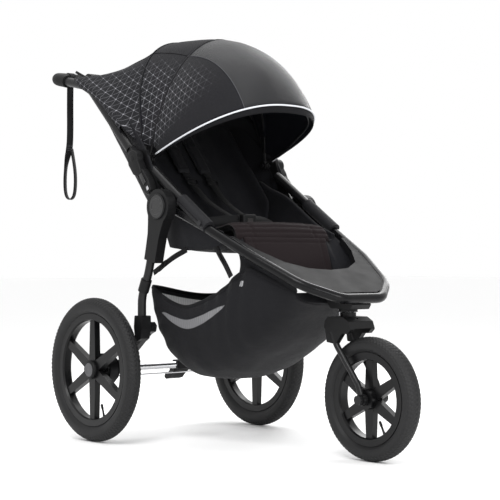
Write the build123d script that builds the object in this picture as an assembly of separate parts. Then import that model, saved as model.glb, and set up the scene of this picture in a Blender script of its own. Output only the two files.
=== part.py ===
from build123d import *
import math
import os

# Three-wheeled jogging stroller. Millimetres, +Z up, the stroller's front
# faces -Y, X runs across. Layout numbers are (y, z) pairs measured from a
# point on the floor under the rear axle; OY moves them to the row frame,
# whose origin is on the floor at the middle of the overall box.

os.makedirs("parts", exist_ok=True)

# ---------------------------------------------------------------- dimensions
REAR_R = 200.0        # 16 inch rear tyre, outer radius
REAR_W = 45.0         # rear tyre width
FRONT_R = 156.5       # 12.5 inch front tyre, outer radius
FRONT_W = 50.0
TRACK = 600.0         # rear tyre centre to centre
WHEELBASE = 780.0
SX = 228.0            # front frame side tubes, half spacing
HX = 256.5            # handle side tubes, half spacing
TUBE = 13.0           # side tube radius
WALL = 1.6
LEG_X = 255.5         # rear legs, half spacing
LEG_R = 11.5
PIVOT = (-135.0, 783.0)     # frame fold and canopy axis
HUB = (-250.0, 648.0)       # rear-leg fold axis
TEE = (-408.0, 588.0)       # armrest meets the front loop
BAR = (295.0, 1046.0)       # handlebar crossbar
KNEE = (92.0, 1002.0)       # bend of the handle's side tubes
GRIP_R = 18.0
LEG_END = (-160.0, 322.0)   # suspension pivot
SEAT_HINGE = (-226.0, 552.0)
SWIVEL_Y = -698.0           # fork swivel axis
CAN_FRONT = (21.5, 208.0, 362.0, 2.5)   # bow angle, half width, length, shape
CAN_MID = (80.0, 205.0, 345.0, 2.0)
CAN_REAR = (107.0, 220.0, 364.0, 2.4)
HUB_R = 47.0


OY = (WHEELBASE + FRONT_R - BAR[0] - GRIP_R) / 2   # rear axle's y in the row frame


def P(x, y, z):
    return Vector(x, y + OY, z)


def save(node, *solids):
    flat = []
    for s in solids:
        flat += list(s.solids())
    shape = flat[0] if len(flat) == 1 else Compound(children=flat)
    export_step(shape, f"parts/{node}.step")


def mirror_x(*solids):
    out = []
    for s in solids:
        for q in s.solids():
            out += [q, q.mirror(Plane.YZ)]
    return out


def tube(points, radii, r, wall=WALL):
    pts = [P(*p) for p in points]
    if len(pts) == 2:
        path = Line(*pts)
    else:
        path = FilletPolyline(*pts, radius=radii)
    plane = Plane(origin=path @ 0, z_dir=path % 0)
    ring = plane * Circle(r)
    if wall:
        ring = ring - plane * Circle(r - wall)
    return sweep(ring, path=path)


def cord_radii(points, name):
    """Largest tangent arcs that the runs allow, and their radii printed."""
    v = [P(*p) for p in points]
    out = []
    for a, b, c in zip(v, v[1:], v[2:]):
        turn = math.radians((b - a).get_angle(c - b))
        out.append(0.45 * min((b - a).length, (c - b).length) / math.tan(turn / 2))
    runs = [round((b - a).length, 1) for a, b in zip(v, v[1:])]
    print(name, "radii", [round(r) for r in out], "runs", runs)
    return out


def rod(a, b, r, wall=0):
    return tube([a, b], None, r, wall)


def xcyl(x0, x1, y, z, r, hole=0.0):
    pl = Plane(origin=P(x0, y, z), z_dir=(1, 0, 0))
    c = extrude(pl * Circle(r), amount=x1 - x0)
    if hole:
        c = c - extrude(pl * Circle(hole), amount=x1 - x0)
    return c


def zcyl(x, y, z0, z1, r, hole=0.0):
    pl = Plane(origin=P(x, y, z0), z_dir=(0, 0, 1))
    c = extrude(pl * Circle(r), amount=z1 - z0)
    if hole:
        c = c - extrude(pl * Circle(hole), amount=z1 - z0)
    return c


def block(x0, x1, y0, y1, z0, z1, f=0.0):
    b = Pos(P((x0 + x1) / 2, (y0 + y1) / 2, (z0 + z1) / 2)) * Box(x1 - x0, y1 - y0, z1 - z0)
    return fillet(b.edges(), f) if f else b


def slab_yz(x0, x1, pts, f=0.0):
    """Plate with its outline in the Y-Z plane, from x0 to x1."""
    pl = Plane(origin=P(x0, 0, 0), x_dir=(0, 1, 0), z_dir=(1, 0, 0))
    face = pl * make_face(Polyline(*[(y, z) for y, z in pts], close=True))
    s = extrude(face, amount=x1 - x0)
    if f:
        s = fillet(s.edges().filter_by(Axis.X), f)
    return s


def faceted(rows):
    """Closed solid from a grid of points: rows are closed rings of equal
    count; the first and last rings are capped by fans of triangles."""
    faces = []

    def tri(a, b, c):
        if (b - a).cross(c - a).length > 1e-6:
            faces.append(Face(Wire.make_polygon([a, b, c], close=True)))
    n = len(rows[0])
    for r0, r1 in zip(rows, rows[1:]):
        for i in range(n):
            j = (i + 1) % n
            tri(r0[i], r0[j], r1[j])
            tri(r0[i], r1[j], r1[i])
    for ring, turn in ((rows[0], True), (rows[-1], False)):
        c = Vector(0, 0, 0)
        for v in ring:
            c = c + v
        c = c / n
        for i in range(n):
            j = (i + 1) % n
            tri(c, ring[j], ring[i]) if turn else tri(c, ring[i], ring[j])
    s = Solid(Shell(faces))
    if s.volume < 0:
        s = Solid(Shell([Face(f.wrapped.Reversed()) for f in faces]))
    return s


def shell_from_grid(grid, t):
    """Thin closed solid: a grid of (point, normal) pairs, thickened by t."""
    faces = []

    def tri(a, b, c):
        if (b - a).cross(c - a).length > 1e-6:
            faces.append(Face(Wire.make_polygon([a, b, c], close=True)))

    def quad(a, b, c, d):
        tri(a, b, c)
        tri(a, c, d)
    nu, nv = len(grid), len(grid[0])
    out = [[p + n * (t / 2) for p, n in row] for row in grid]
    inn = [[p - n * (t / 2) for p, n in row] for row in grid]
    for i in range(nu - 1):
        for j in range(nv - 1):
            quad(out[i][j], out[i][j + 1], out[i + 1][j + 1], out[i + 1][j])
            quad(inn[i][j], inn[i + 1][j], inn[i + 1][j + 1], inn[i][j + 1])
    for i in range(nu - 1):
        quad(out[i][0], out[i + 1][0], inn[i + 1][0], inn[i][0])
        quad(out[i][-1], inn[i][-1], inn[i + 1][-1], out[i + 1][-1])
    for j in range(nv - 1):
        quad(out[0][j], inn[0][j], inn[0][j + 1], out[0][j + 1])
        quad(out[-1][j], out[-1][j + 1], inn[-1][j + 1], inn[-1][j])
    return Solid(Shell(faces))


# ------------------------------------------------------------------- wheels
def wheel(node, x, y, z, R, W, rim_w, inner, outer_hub):
    """Tyre, moulded six-spoke wheel and hub cap; axle hole through it."""
    pl = Plane(origin=P(0, y, z), x_dir=(1, 0, 0), z_dir=(0, 1, 0))
    th = 0.215 * R if R > 180 else 0.245 * R
    rb = R - th
    # tyre: rounded tread, sidewalls pulled in to the bead
    prof = Polyline((x - rim_w / 2, rb), (x - W / 2, rb + th * 0.42), (x - W / 2, rb + th * 0.62),
                    (x - W * 0.36, R - th * 0.13), (x - W * 0.16, R), (x + W * 0.16, R),
                    (x + W * 0.36, R - th * 0.13), (x + W / 2, rb + th * 0.62),
                    (x + W / 2, rb + th * 0.42), (x + rim_w / 2, rb), close=True)
    tyre_face = Plane(origin=P(0, y, z), x_dir=(1, 0, 0), z_dir=(0, -1, 0)) * make_face(prof)
    ax = Axis(P(0, y, z), (1, 0, 0))
    tyre = revolve(tyre_face, axis=ax, revolution_arc=360)
    # rim: channel with raised lips
    r1 = rb - 0.3
    rim_prof = Polyline((x - rim_w / 2 - 2, r1), (x - rim_w / 2 - 2, r1 - 17), (x - rim_w / 2 + 3, r1 - 20),
                        (x + rim_w / 2 - 3, r1 - 20), (x + rim_w / 2 + 2, r1 - 17), (x + rim_w / 2 + 2, r1),
                        (x + rim_w / 2 - 3, r1), (x + rim_w / 2 - 5, r1 - 9), (x - rim_w / 2 + 5, r1 - 9),
                        (x - rim_w / 2 + 3, r1), close=True)
    rim = revolve(Plane(origin=P(0, y, z), x_dir=(1, 0, 0), z_dir=(0, -1, 0)) * make_face(rim_prof), axis=ax, revolution_arc=360)
    hub = xcyl(x - inner, x + outer_hub, y, z, 26)
    parts = rim + hub
    pw = Plane(origin=P(x, y, z), x_dir=(0, 1, 0), z_dir=(1, 0, 0))
    for k in range(6):
        a = math.radians(90 + 60 * k)
        ca, sa = math.cos(a), math.sin(a)
        ro = r1 - 16
        pts = []
        for rr, hw in ((18, 15), (ro, 10.5)):
            pts.append((rr * ca - hw * sa, rr * sa + hw * ca))
        for rr, hw in ((ro, -10.5), (18, -15)):
            pts.append((rr * ca - hw * sa, rr * sa + hw * ca))
        sp = extrude(pw * make_face(Polyline(*pts, close=True)), amount=9, both=True)
        parts = parts + sp
    parts = parts - xcyl(x - 60, x + 60, y, z, 8.05)
    save(node + "_tyre", tyre)
    save(node + "_rim", parts)


rear_x = TRACK / 2
wheel("rear_wheel_left", -rear_x, 0, REAR_R, REAR_R, REAR_W, 26, 17, 14)
wheel("rear_wheel_right", rear_x, 0, REAR_R, REAR_R, REAR_W, 26, 14, 17)
wheel("front_wheel", 0, -WHEELBASE, FRONT_R, FRONT_R, FRONT_W, 30, 24, 24)

save("hub_caps", *mirror_x(xcyl(-rear_x - 21.5, -rear_x - 17.0, 0, REAR_R, 19)))

# ------------------------------------------------- rear axle on its swing arms
axle_x = rear_x + 17.0
axle_tube = xcyl(-axle_x, axle_x, 0, REAR_R, 8.0) + xcyl(-236, 236, 0, REAR_R, 10)
save("rear_axle_tube", axle_tube)
arm_pts = [(-6, 214), (14, 204), (14, 188), (-4, 184), (-152, 302), (-172, 310), (-176, 326), (-166, 336), (-148, 334)]
arm = slab_yz(-234, -216, arm_pts, 4) - xcyl(-236, -214, 0, REAR_R, 10.0) - xcyl(-236, -214, LEG_END[0], LEG_END[1], 6.05)
save("suspension_arms", *mirror_x(arm))
drum = xcyl(-277, -250, 0, REAR_R, 44, 10.0) + xcyl(-250, -240, 0, REAR_R, 30, 10.0)
drum = drum + block(-268, -252, 30, 64, 196, 214, 2)
drum = drum - xcyl(-290, -230, 0, REAR_R, 10.0) - xcyl(-290, -276.8, 0, REAR_R, 43)
drum = drum - xcyl(-277.1, -262, 0, REAR_R, 39)
save("drum_brakes", *mirror_x(drum))
save("brake_link_rod", rod((-238, 0, 178), (238, 0, 178), 2.2))
# pedal bracket fixed on the axle
pb = block(-16, 64, -16, 16, 187, 214, 4) - xcyl(-30, 90, 0, REAR_R, 10.0)
pb = pb + block(-12, -2, 10, 34, 180, 206, 2) + block(52, 62, 10, 34, 180, 206, 2)
pb = pb - xcyl(-20, 80, 26, 190, 4.05) - xcyl(-30, 90, 0, REAR_R, 10.0) - rod((-40, 0, 178), (90, 0, 178), 3.2)
save("brake_pedal_bracket", pb)
pp = slab_yz(0, 50, [(20, 196), (34, 198), (42, 186), (56, 174), (70, 169), (74, 160), (66, 153), (50, 157), (34, 172), (20, 182)], 2.5)
pp = pp + xcyl(-13, 63, 26, 190, 4.0)
save("parking_brake_pedal", pp)

# ------------------------------------------------------------ rear leg frame
leg_top = (HUB[0] + 60, 505)
leg = tube([(-LEG_X, -212, 545), (-LEG_X, -190, 470), (-LEG_X, -160, 405), (-LEG_X, -160, 318)],
           [150, 90], LEG_R, 0)
save("rear_legs", *mirror_x(leg))
# pear-shaped hub covers with their neck sleeves
def pear(x0, x1, f):
    n = 22
    pts = []
    cy, cz = HUB
    d = Vector(0.232, -0.973)           # neck direction (y, z)
    nx = Vector(-d.Y, d.X)
    a0 = math.atan2(d.Y, d.X)
    for i in range(n + 1):
        a = a0 + math.radians(48) + math.radians(264) * i / n
        pts.append((cy + HUB_R * math.cos(a), cz + HUB_R * math.sin(a)))
    for t, w in ((52, 30), (80, 25), (120, 24), (150, 24)):
        pts.append((cy + d.X * t - nx.X * w, cz + d.Y * t - nx.Y * w))
    for t, w in ((150, 24), (120, 24), (80, 25), (52, 30)):
        pts.append((cy + d.X * t + nx.X * w, cz + d.Y * t + nx.Y * w))
    s = slab_yz(x0, x1, pts)
    return s
hub_body = pear(-272, -243.5, 2) - xcyl(-280, -240, HUB[0], HUB[1], 9.05)
hub_body = hub_body - tube([(-LEG_X, -212, 545), (-LEG_X, -190, 470), (-LEG_X, -160, 405), (-LEG_X, -160, 318)], [150, 90], LEG_R, 0)
save("hub_covers", *mirror_x(hub_body))
save("hub_badges", *mirror_x(xcyl(-276.0, -272.0, HUB[0], HUB[1], 33)))
collar = rod((-LEG_X, -181, 452), (-LEG_X, -166, 420), 15) - tube([(-LEG_X, -212, 545), (-LEG_X, -190, 470), (-LEG_X, -160, 405), (-LEG_X, -160, 318)], [150, 90], LEG_R, 0)
leg_collars = mirror_x(collar)
foot = slab_yz(-269, -238, [(-177, 354), (-144, 354), (-141, 322), (-146, 292), (-158, 284), (-171, 292), (-178, 318)], 4)
foot = foot - tube([(-LEG_X, -212, 545), (-LEG_X, -190, 470), (-LEG_X, -160, 405), (-LEG_X, -160, 317.9)], [150, 90], LEG_R, 0)
foot = foot + xcyl(-240, -213, LEG_END[0], LEG_END[1], 6.0)
save("leg_brackets", *leg_collars, *mirror_x(foot))

# ------------------------------------------------------------ front frame
NOSE = (-747.0, 408.0)
def loop_pts(r_in=0.0):
    return [(-SX, HUB[0] - 4, HUB[1] - 2), (-SX, TEE[0], TEE[1]), (-198, -560, 510), (-150, -686, 441),
            (-70, NOSE[0], NOSE[1]), (70, NOSE[0], NOSE[1]), (150, -686, 441), (198, -560, 510),
            (SX, TEE[0], TEE[1]), (SX, HUB[0] - 4, HUB[1] - 2)]
front_loop = tube(loop_pts(), [160, 160, 120, 55, 55, 120, 160, 160], TUBE)
save("front_loop_tube", front_loop)

# tray plate across the loop's nose, in the plane of the loop
slope = math.atan2(510 - NOSE[1], -560 - NOSE[0])
def TP(x, y, dz=0.0):
    """point on the tray plane at plan position x, y"""
    return P(x, y, NOSE[1] + (y - NOSE[0]) * math.tan(slope) + dz)
tp_plane = Plane(origin=TP(0, -640), x_dir=(1, 0, 0), z_dir=(0, -math.sin(slope), math.cos(slope)))
def uv(x, y):
    return (x, (y + 640) / math.cos(slope))
outer = [uv(-212, -470), uv(-196, -545), uv(-176, -610), uv(-146, -672), uv(-104, -718), uv(-62, -733),
         uv(62, -733), uv(104, -718), uv(146, -672), uv(176, -610), uv(196, -545), uv(212, -470)]
inner = [uv(196, -470), uv(170, -535), uv(128, -592), uv(70, -622), uv(0, -630), uv(-70, -622), uv(-128, -592),
         uv(-170, -535), uv(-196, -470)]
tray = extrude(tp_plane * make_face(Polyline(*outer, *inner, close=True)), amount=9, both=True)
tray = tray - tube(loop_pts(), [160, 160, 120, 55, 55, 120, 160, 160], TUBE, 0)
tray = max(tray.solids(), key=lambda q: q.volume)
save("tray_panel", tray)
# head bracket under the tray: carries the fork's swivel bearing
SY = SWIVEL_Y
hb = slab_yz(-34, 34, [(SY + 50, 446), (SY + 46, 400), (SY + 30, 382), (SY - 40, 380), (SY - 48, 392), (SY - 40, 404), (SY - 10, 430)], 3)
hb = hb + zcyl(0, SY, 373, 396, 24)
hb = hb - zcyl(0, SY, 360, 460, 9.05) - zcyl(0, SY, 397.8, 460, 13)
hb = hb - tube(loop_pts(), [160, 160, 120, 55, 55, 120, 160, 160], TUBE, 0)
hb = hb - tray
hb = max(hb.solids(), key=lambda q: q.volume)
hb = hb - zcyl(0, SY + 30, 360, 460, 4.05)
save("head_bracket", hb)

# armrest tubes and their lower sleeves
arm_top = (-172, 752)
arm_mid = (-302, 665.1)
arm_low = (-414, 590.3)
save("armrest_tubes", *mirror_x(rod((-SX, *arm_top), (-SX, *arm_mid), TUBE, WALL)))
arm_sleeve = rod((-SX, *arm_mid), (-SX, *arm_low), 17.5, 0)
arm_sleeve = arm_sleeve - tube(loop_pts(), [160, 160, 120, 55, 55, 120, 160, 160], TUBE, 0)
arm_sleeve = max(arm_sleeve.solids(), key=lambda q: q.volume)
save("armrest_sleeves", *mirror_x(arm_sleeve))
save("frame_bolts", *mirror_x(xcyl(-249, -245.6, -398, 601, 7)))
# lower struts, bracket to hub
save("lower_struts", *mirror_x(rod((-SX, -212, 695), (-SX, HUB[0] + 12, HUB[1] + 15), 11.0, WALL)))
# fold brackets: housings that hold the fold pivot pins and the lower struts
fb = slab_yz(-SX - 14.5, -SX - 3, [(-158, 806), (-112, 806), (-108, 770), (-140, 742), (-166, 712), (-204, 682), (-222, 694), (-206, 722), (-176, 760)], 4)
fb = fb - xcyl(-260, -200, PIVOT[0], PIVOT[1], 6.05)
fb = fb - rod((-SX, *arm_top), (-SX, *arm_mid), TUBE, 0)
fb = fb - rod((-SX, -212, 695), (-SX, HUB[0] + 12, HUB[1] + 15), 11.0, 0)
fb = max(fb.solids(), key=lambda q: q.volume)
save("fold_brackets", *mirror_x(fb))
save("fold_pivot_pins", *mirror_x(xcyl(-HX - 1, -200, PIVOT[0], PIVOT[1], 6.0)))
# inner hub plates with the leg pivot pins
hp = xcyl(-SX - 15, -SX + 15, HUB[0], HUB[1], 21)
hp = hp - tube(loop_pts(), [160, 160, 120, 55, 55, 120, 160, 160], TUBE, 0) - rod((-SX, -212, 695), (-SX, HUB[0] + 12, HUB[1] + 15), 11.0, 0)
hp = max(hp.solids(), key=lambda q: q.volume)
hp = hp + xcyl(-271, -SX - 14, HUB[0], HUB[1], 9.0)
save("hub_bosses", *mirror_x(hp))

# ------------------------------------------------------------ handle frame
handle_pts = [(-HX, PIVOT[0] + 26, PIVOT[1] + 25.1), (-HX, KNEE[0], KNEE[1]), (-HX, BAR[0], BAR[1]),
              (HX, BAR[0], BAR[1]), (HX, KNEE[0], KNEE[1]), (HX, PIVOT[0] + 26, PIVOT[1] + 25.1)]
handle = tube(handle_pts, [120, 62, 62, 120], TUBE)
save("handle_tube", handle)
ear = slab_yz(-HX - 8, -SX - 15, [(-150, 790), (-138, 800), (-112, 822), (-96, 812), (-116, 784), (-126, 768), (-144, 768)], 3)
ear = ear - xcyl(-280, -200, PIVOT[0], PIVOT[1], 6.0) - tube(handle_pts, [120, 62, 62, 120], TUBE, 0)
ear = max(ear.solids(), key=lambda q: q.volume)
save("handle_ears", *mirror_x(ear))
# foam grip round the crossbar and its two bends
GZ = BAR[1] - 92 * (BAR[1] - KNEE[1]) / (BAR[0] - KNEE[0])
grip = tube([(-HX, BAR[0] - 92, GZ), (-HX, BAR[0], BAR[1]), (HX, BAR[0], BAR[1]), (HX, BAR[0] - 92, GZ)],
            [62, 62], GRIP_R, GRIP_R - TUBE - 0.05)
save("handle_grip", grip)
# brake lever perch on the crossbar's underside, and the wheel-lock perch
perch = xcyl(-122, -84, BAR[0], BAR[1], 24, GRIP_R + 0.1) + block(-118, -88, BAR[0] - 60, BAR[0] - 20, BAR[1] - 8, BAR[1] + 10, 2)
perch = perch - xcyl(-130, -70, BAR[0], BAR[1], GRIP_R + 0.1) - zcyl(-103, BAR[0] - 50, BAR[1] - 30, BAR[1] + 30, 3.05)
perch = perch - block(-119, -87, BAR[0] - 61, BAR[0] - 38.6, BAR[1] - 3.3, BAR[1] + 5.3)
perch = perch + zcyl(-103, BAR[0] - 50, BAR[1] - 8, BAR[1] + 10, 3.0)

lever = block(-112, -94, BAR[0] - 59, BAR[0] - 41.5, BAR[1] - 3, BAR[1] + 5, 1)
lever = lever + rod((-110, BAR[0] - 52, BAR[1] + 1), (-178, BAR[0] - 66, BAR[1] + 2), 4.0) + rod((-176, BAR[0] - 65.6, BAR[1] + 2), (-206, BAR[0] - 60, BAR[1] + 16), 4.0)
lever = lever - zcyl(-103, BAR[0] - 50, BAR[1] - 30, BAR[1] + 30, 3.05)
lever = max(lever.solids(), key=lambda q: q.volume)
save("brake_lever", lever)
perch2 = xcyl(-60, -26, BAR[0], BAR[1], 23, GRIP_R + 0.1) + block(-56, -30, BAR[0] - 46, BAR[0] - 20, BAR[1] - 8, BAR[1] + 8, 2)
perch2 = perch2 - xcyl(-70, -20, BAR[0], BAR[1], GRIP_R + 0.1)
save("brake_perch", perch, perch2)
wl = xcyl(-52, -34, BAR[0] - 36, BAR[1] + 13.0, 4.5) + block(-50, -36, BAR[0] - 58, BAR[0] - 36, BAR[1] + 10.5, BAR[1] + 15.5, 1)
save("wheel_lock_lever", wl)
cable_pts = [(-84, BAR[0] - 46, BAR[1] + 1), (-48, BAR[0] - 58, BAR[1] + 4), (0, BAR[0] - 66, BAR[1] + 6), (50, BAR[0] - 68, BAR[1] + 3),
             (100, BAR[0] - 66, BAR[1] - 2), (150, BAR[0] - 68, BAR[1] - 6), (196, BAR[0] - 76, BAR[1] - 12), (243.4, BAR[0] - 97, BAR[1] - 20.5)]
cable = tube(cable_pts, cord_radii(cable_pts, "brake_cable_upper"), 2.5, 0)
save("brake_cable_upper", cable)

# wrist strap: webbing that hangs from the grip, sewn into a loop at its end
TX = -186.0
cuff = tube([(TX - 10, BAR[0], BAR[1]), (TX + 10, BAR[0], BAR[1])], None, GRIP_R + 2.2, 2.0)
save("wrist_strap_cuff", cuff)
WZ = BAR[1] - GRIP_R - 2.4
strap_pts = [(TX, BAR[0], WZ), (TX, BAR[0] + 1, WZ - 61), (TX + 0.5, BAR[0] + 0.5, WZ - 125), (TX - 1, BAR[0] + 1, WZ - 184),
             (TX - 8, BAR[0] + 8, WZ - 223), (TX - 11, BAR[0] + 11, WZ - 267), (TX - 11, BAR[0] + 11, WZ - 306), (TX - 8, BAR[0] + 8, WZ - 331),
             (TX, BAR[0], WZ - 341), (TX + 8, BAR[0] - 8, WZ - 331), (TX + 11, BAR[0] - 11, WZ - 307), (TX + 11.5, BAR[0] - 11.5, WZ - 267),
             (TX + 8, BAR[0] - 8, WZ - 225), (TX + 3.2, BAR[0] - 3.2, WZ - 187)]
strap = tube(strap_pts, cord_radii(strap_pts, "wrist_strap"), 1.6, 0)
save("wrist_strap", strap)

# ------------------------------------------------------------ canopy
def bow_pt(bow, t, grow=0.0):
    """t from 0 (left hinge) to 1 (right hinge)"""
    phi, a, L, n = bow
    th = math.pi * (1 - t)
    c, s = math.cos(th), math.sin(th)
    r = (abs(c) ** n + abs(s) ** n) ** (-1 / n)
    x = (a + grow) * c * r
    u = (L + grow) * s * r
    f = math.radians(phi)
    return x, PIVOT[0] - u * math.cos(f), PIVOT[1] + u * math.sin(f)

def bow(bowdef, r, hx):
    ts = [0.10, 0.25, 0.40, 0.60, 0.75, 0.90]
    pts = [(-hx, PIVOT[0], PIVOT[1])] + [bow_pt(bowdef, t) for t in ts] + [(hx, PIVOT[0], PIVOT[1])]
    f = math.radians(bowdef[0])
    lead = [(-hx, PIVOT[0] - 13 * math.cos(f), PIVOT[1] + 13 * math.sin(f))]
    tail = [(hx, PIVOT[0] - 13 * math.cos(f), PIVOT[1] + 13 * math.sin(f))]
    pts = lead + pts[1:-1] + tail
    V = [P(*p) for p in pts]
    rad = []
    for a, b, c in zip(V, V[1:], V[2:]):
        ang = (b - a).get_angle(c - b)
        rad.append(0.42 * min((b - a).length, (c - b).length) / math.tan(math.radians(ang) / 2))
    s = tube(pts, rad, r, 0)
    eye = xcyl(-hx - 1.6, -hx + 1.6, PIVOT[0], PIVOT[1], 12, 6.05)
    out = s
    for sg in (-1, 1):
        e = xcyl(sg * hx - 1.6, sg * hx + 1.6, PIVOT[0], PIVOT[1], 14, 6.05)
        out = out + e
    return out - xcyl(-300, 300, PIVOT[0], PIVOT[1], 6.05)

save("canopy_front_bow", bow(CAN_FRONT, 2.4, 206.0))
save("canopy_mid_bow", bow(CAN_MID, 2.4, 212.0))
save("canopy_rear_bow", bow(CAN_REAR, 2.4, 218.0))

def between(b0, b1, s):
    return tuple(b0[i] * (1 - s) + b1[i] * s for i in range(4))

def panel(b0, b1, s_list, t_list, grow, thick):
    grid = []
    for s in s_list:
        row = []
        for t in t_list:
            b = between(b0, b1, s)
            p = P(*bow_pt(b, t, grow))
            d = P(*bow_pt(b, t, grow + 10)) - p
            row.append((p, d.normalized()))
        grid.append(row)
    return shell_from_grid(grid, thick)

T_PANEL = [0.07, 0.16, 0.25, 0.34, 0.43, 0.5, 0.57, 0.66, 0.75, 0.84, 0.93]
T_PARTS = [[0.07, 0.16, 0.25, 0.34], [0.34, 0.43, 0.5, 0.57, 0.66], [0.66, 0.75, 0.84, 0.93]]
save("canopy_front_panel", *[panel(CAN_FRONT, CAN_MID, [0.0, 0.33, 0.66, 0.985], q, 6.5, 3.0) for q in T_PARTS])
save("canopy_mid_panel", *[panel(CAN_MID, CAN_REAR, [0.015, 0.5, 0.985], q, 6.5, 3.0) for q in T_PARTS])

# rear panel: from the rear bow down to the handle's side tubes
def rear_panel():
    wing = (150.0, 1016.0)              # top of the wings, on the handle tubes
    mid = (84.0, 992.0)                 # back edge at the middle
    grid = []
    for s in (0.0, 0.35, 0.7, 1.0):
        row = []
        for t in T_PANEL:
            a = P(*bow_pt(CAN_REAR, t, 8.5))
            sg = -1 if t < 0.5 else 1
            q = 0.5 - abs(t - 0.5)      # 0 at the hinge, 0.5 at the middle
            if q <= 0.25:
                k = q / 0.25
                y = PIVOT[0] + 20 + (wing[0] - PIVOT[0] - 20) * k
                z = PIVOT[1] + 66 + (wing[1] + 26 - PIVOT[1] - 66) * k + 34 * math.sin(math.pi * k)
                x = sg * (HX + 6)
            else:
                k = (q - 0.25) / 0.25
                y = wing[0] + (mid[0] - wing[0]) * k ** 0.6
                z = wing[1] + 26 + (mid[1] - wing[1]) * k
                x = sg * HX * (1 - k)
            b = P(x, y, z)
            sag = -6 * math.sin(math.pi * s) * min(1.0, q / 0.2)
            row.append((a * (1 - s) + b * s + Vector(0, 0, sag), None))
        grid.append(row)
    n, m = len(grid), len(grid[0])
    out = []
    for i in range(n):
        r = []
        for j in range(m):
            du = grid[min(i + 1, n - 1)][j][0] - grid[max(i - 1, 0)][j][0]
            dv = grid[i][min(j + 1, m - 1)][0] - grid[i][max(j - 1, 0)][0]
            nn = dv.cross(du)
            nn = nn.normalized() if nn.length > 1e-6 else Vector(0, 0, 1)
            if nn.Z < 0:
                nn = nn * -1
            r.append((grid[i][j][0], nn))
        out.append(r)
    return shell_from_grid(out, 3.0)

save("canopy_rear_panel", rear_panel())

# ------------------------------------------------------------ seat
def seat_slab(pts, hw, f=0.0):
    return slab_yz(-hw, hw, pts, f)

save("seat_base", seat_slab([(-212, 556), (-214, 532), (-300, 527), (-412, 531), (-452, 560), (-452, 590), (-430, 606), (-380, 600), (-300, 584), (-236, 574)], 172, 6))
calf = seat_slab([(-455, 590), (-455, 560), (-480, 500), (-498, 440), (-512, 440), (-500, 500), (-474, 586)], 142, 3)
save("calf_panel", calf)
# seat back with its bolsters: a shallow shell around the child
bx = Vector(0, 0.640, 0.768)     # up the seat back
nx = Vector(0, -0.768, 0.640)    # out of its front face
def BK(x, u, v):
    return P(x, SEAT_HINGE[0] + bx.Y * u + nx.Y * v, SEAT_HINGE[1] + bx.Z * u + nx.Z * v)
def back_slab(x0, x1, u0, u1, v0, v1, f=0.0):
    pl = Plane(origin=BK(x0, 0, 0), x_dir=(bx.X, bx.Y, bx.Z), z_dir=(1, 0, 0))
    # plane y is z cross x
    pts = [(u0, v0), (u1, v0), (u1, v1), (u0, v1)]
    face = pl * make_face(Polyline(*[(a, b) for a, b in pts], close=True))
    s = extrude(face, amount=x1 - x0)
    return fillet(s.edges(), f) if f else s
chk = Plane(origin=BK(0, 0, 0), x_dir=(bx.X, bx.Y, bx.Z), z_dir=(1, 0, 0)).y_dir
sgn = 1 if chk.dot(nx) > 0 else -1
def bs(x0, x1, u0, u1, v0, v1, f=0.0):
    return back_slab(x0, x1, u0, u1, min(sgn * v0, sgn * v1), max(sgn * v0, sgn * v1), f)
save("seat_back", bs(-176, 176, 30, 545, -34, 4, 8))
save("shoulder_pads", *mirror_x(bs(-60, -18, 250, 470, 4.5, 22, 6)))
# seat sides: two soft walls from the seat up to the armrest and bracket
save("seat_back_wings", *mirror_x(bs(-190, -177, 70, 470, -34, 52, 5)))
side = slab_yz(-207, -194, [(-236, 560), (-225, 620), (-172, 712), (-186, 722), (-300, 648), (-404, 576), (-420, 540), (-300, 532), (-240, 534)], 4)
save("seat_sides", *mirror_x(side))
save("harness_buckle", block(-24, 24, -316, -288, 594.2, 632, 6) - Pos(P(0, -316, 613)) * Box(20, 12, 16))
save("buckle_button", block(-9.5, 9.5, -317, -313, 605.5, 620.5, 1))
save("crotch_strap", block(-13, 13, -306, -298, 586.2, 594.2))

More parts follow.
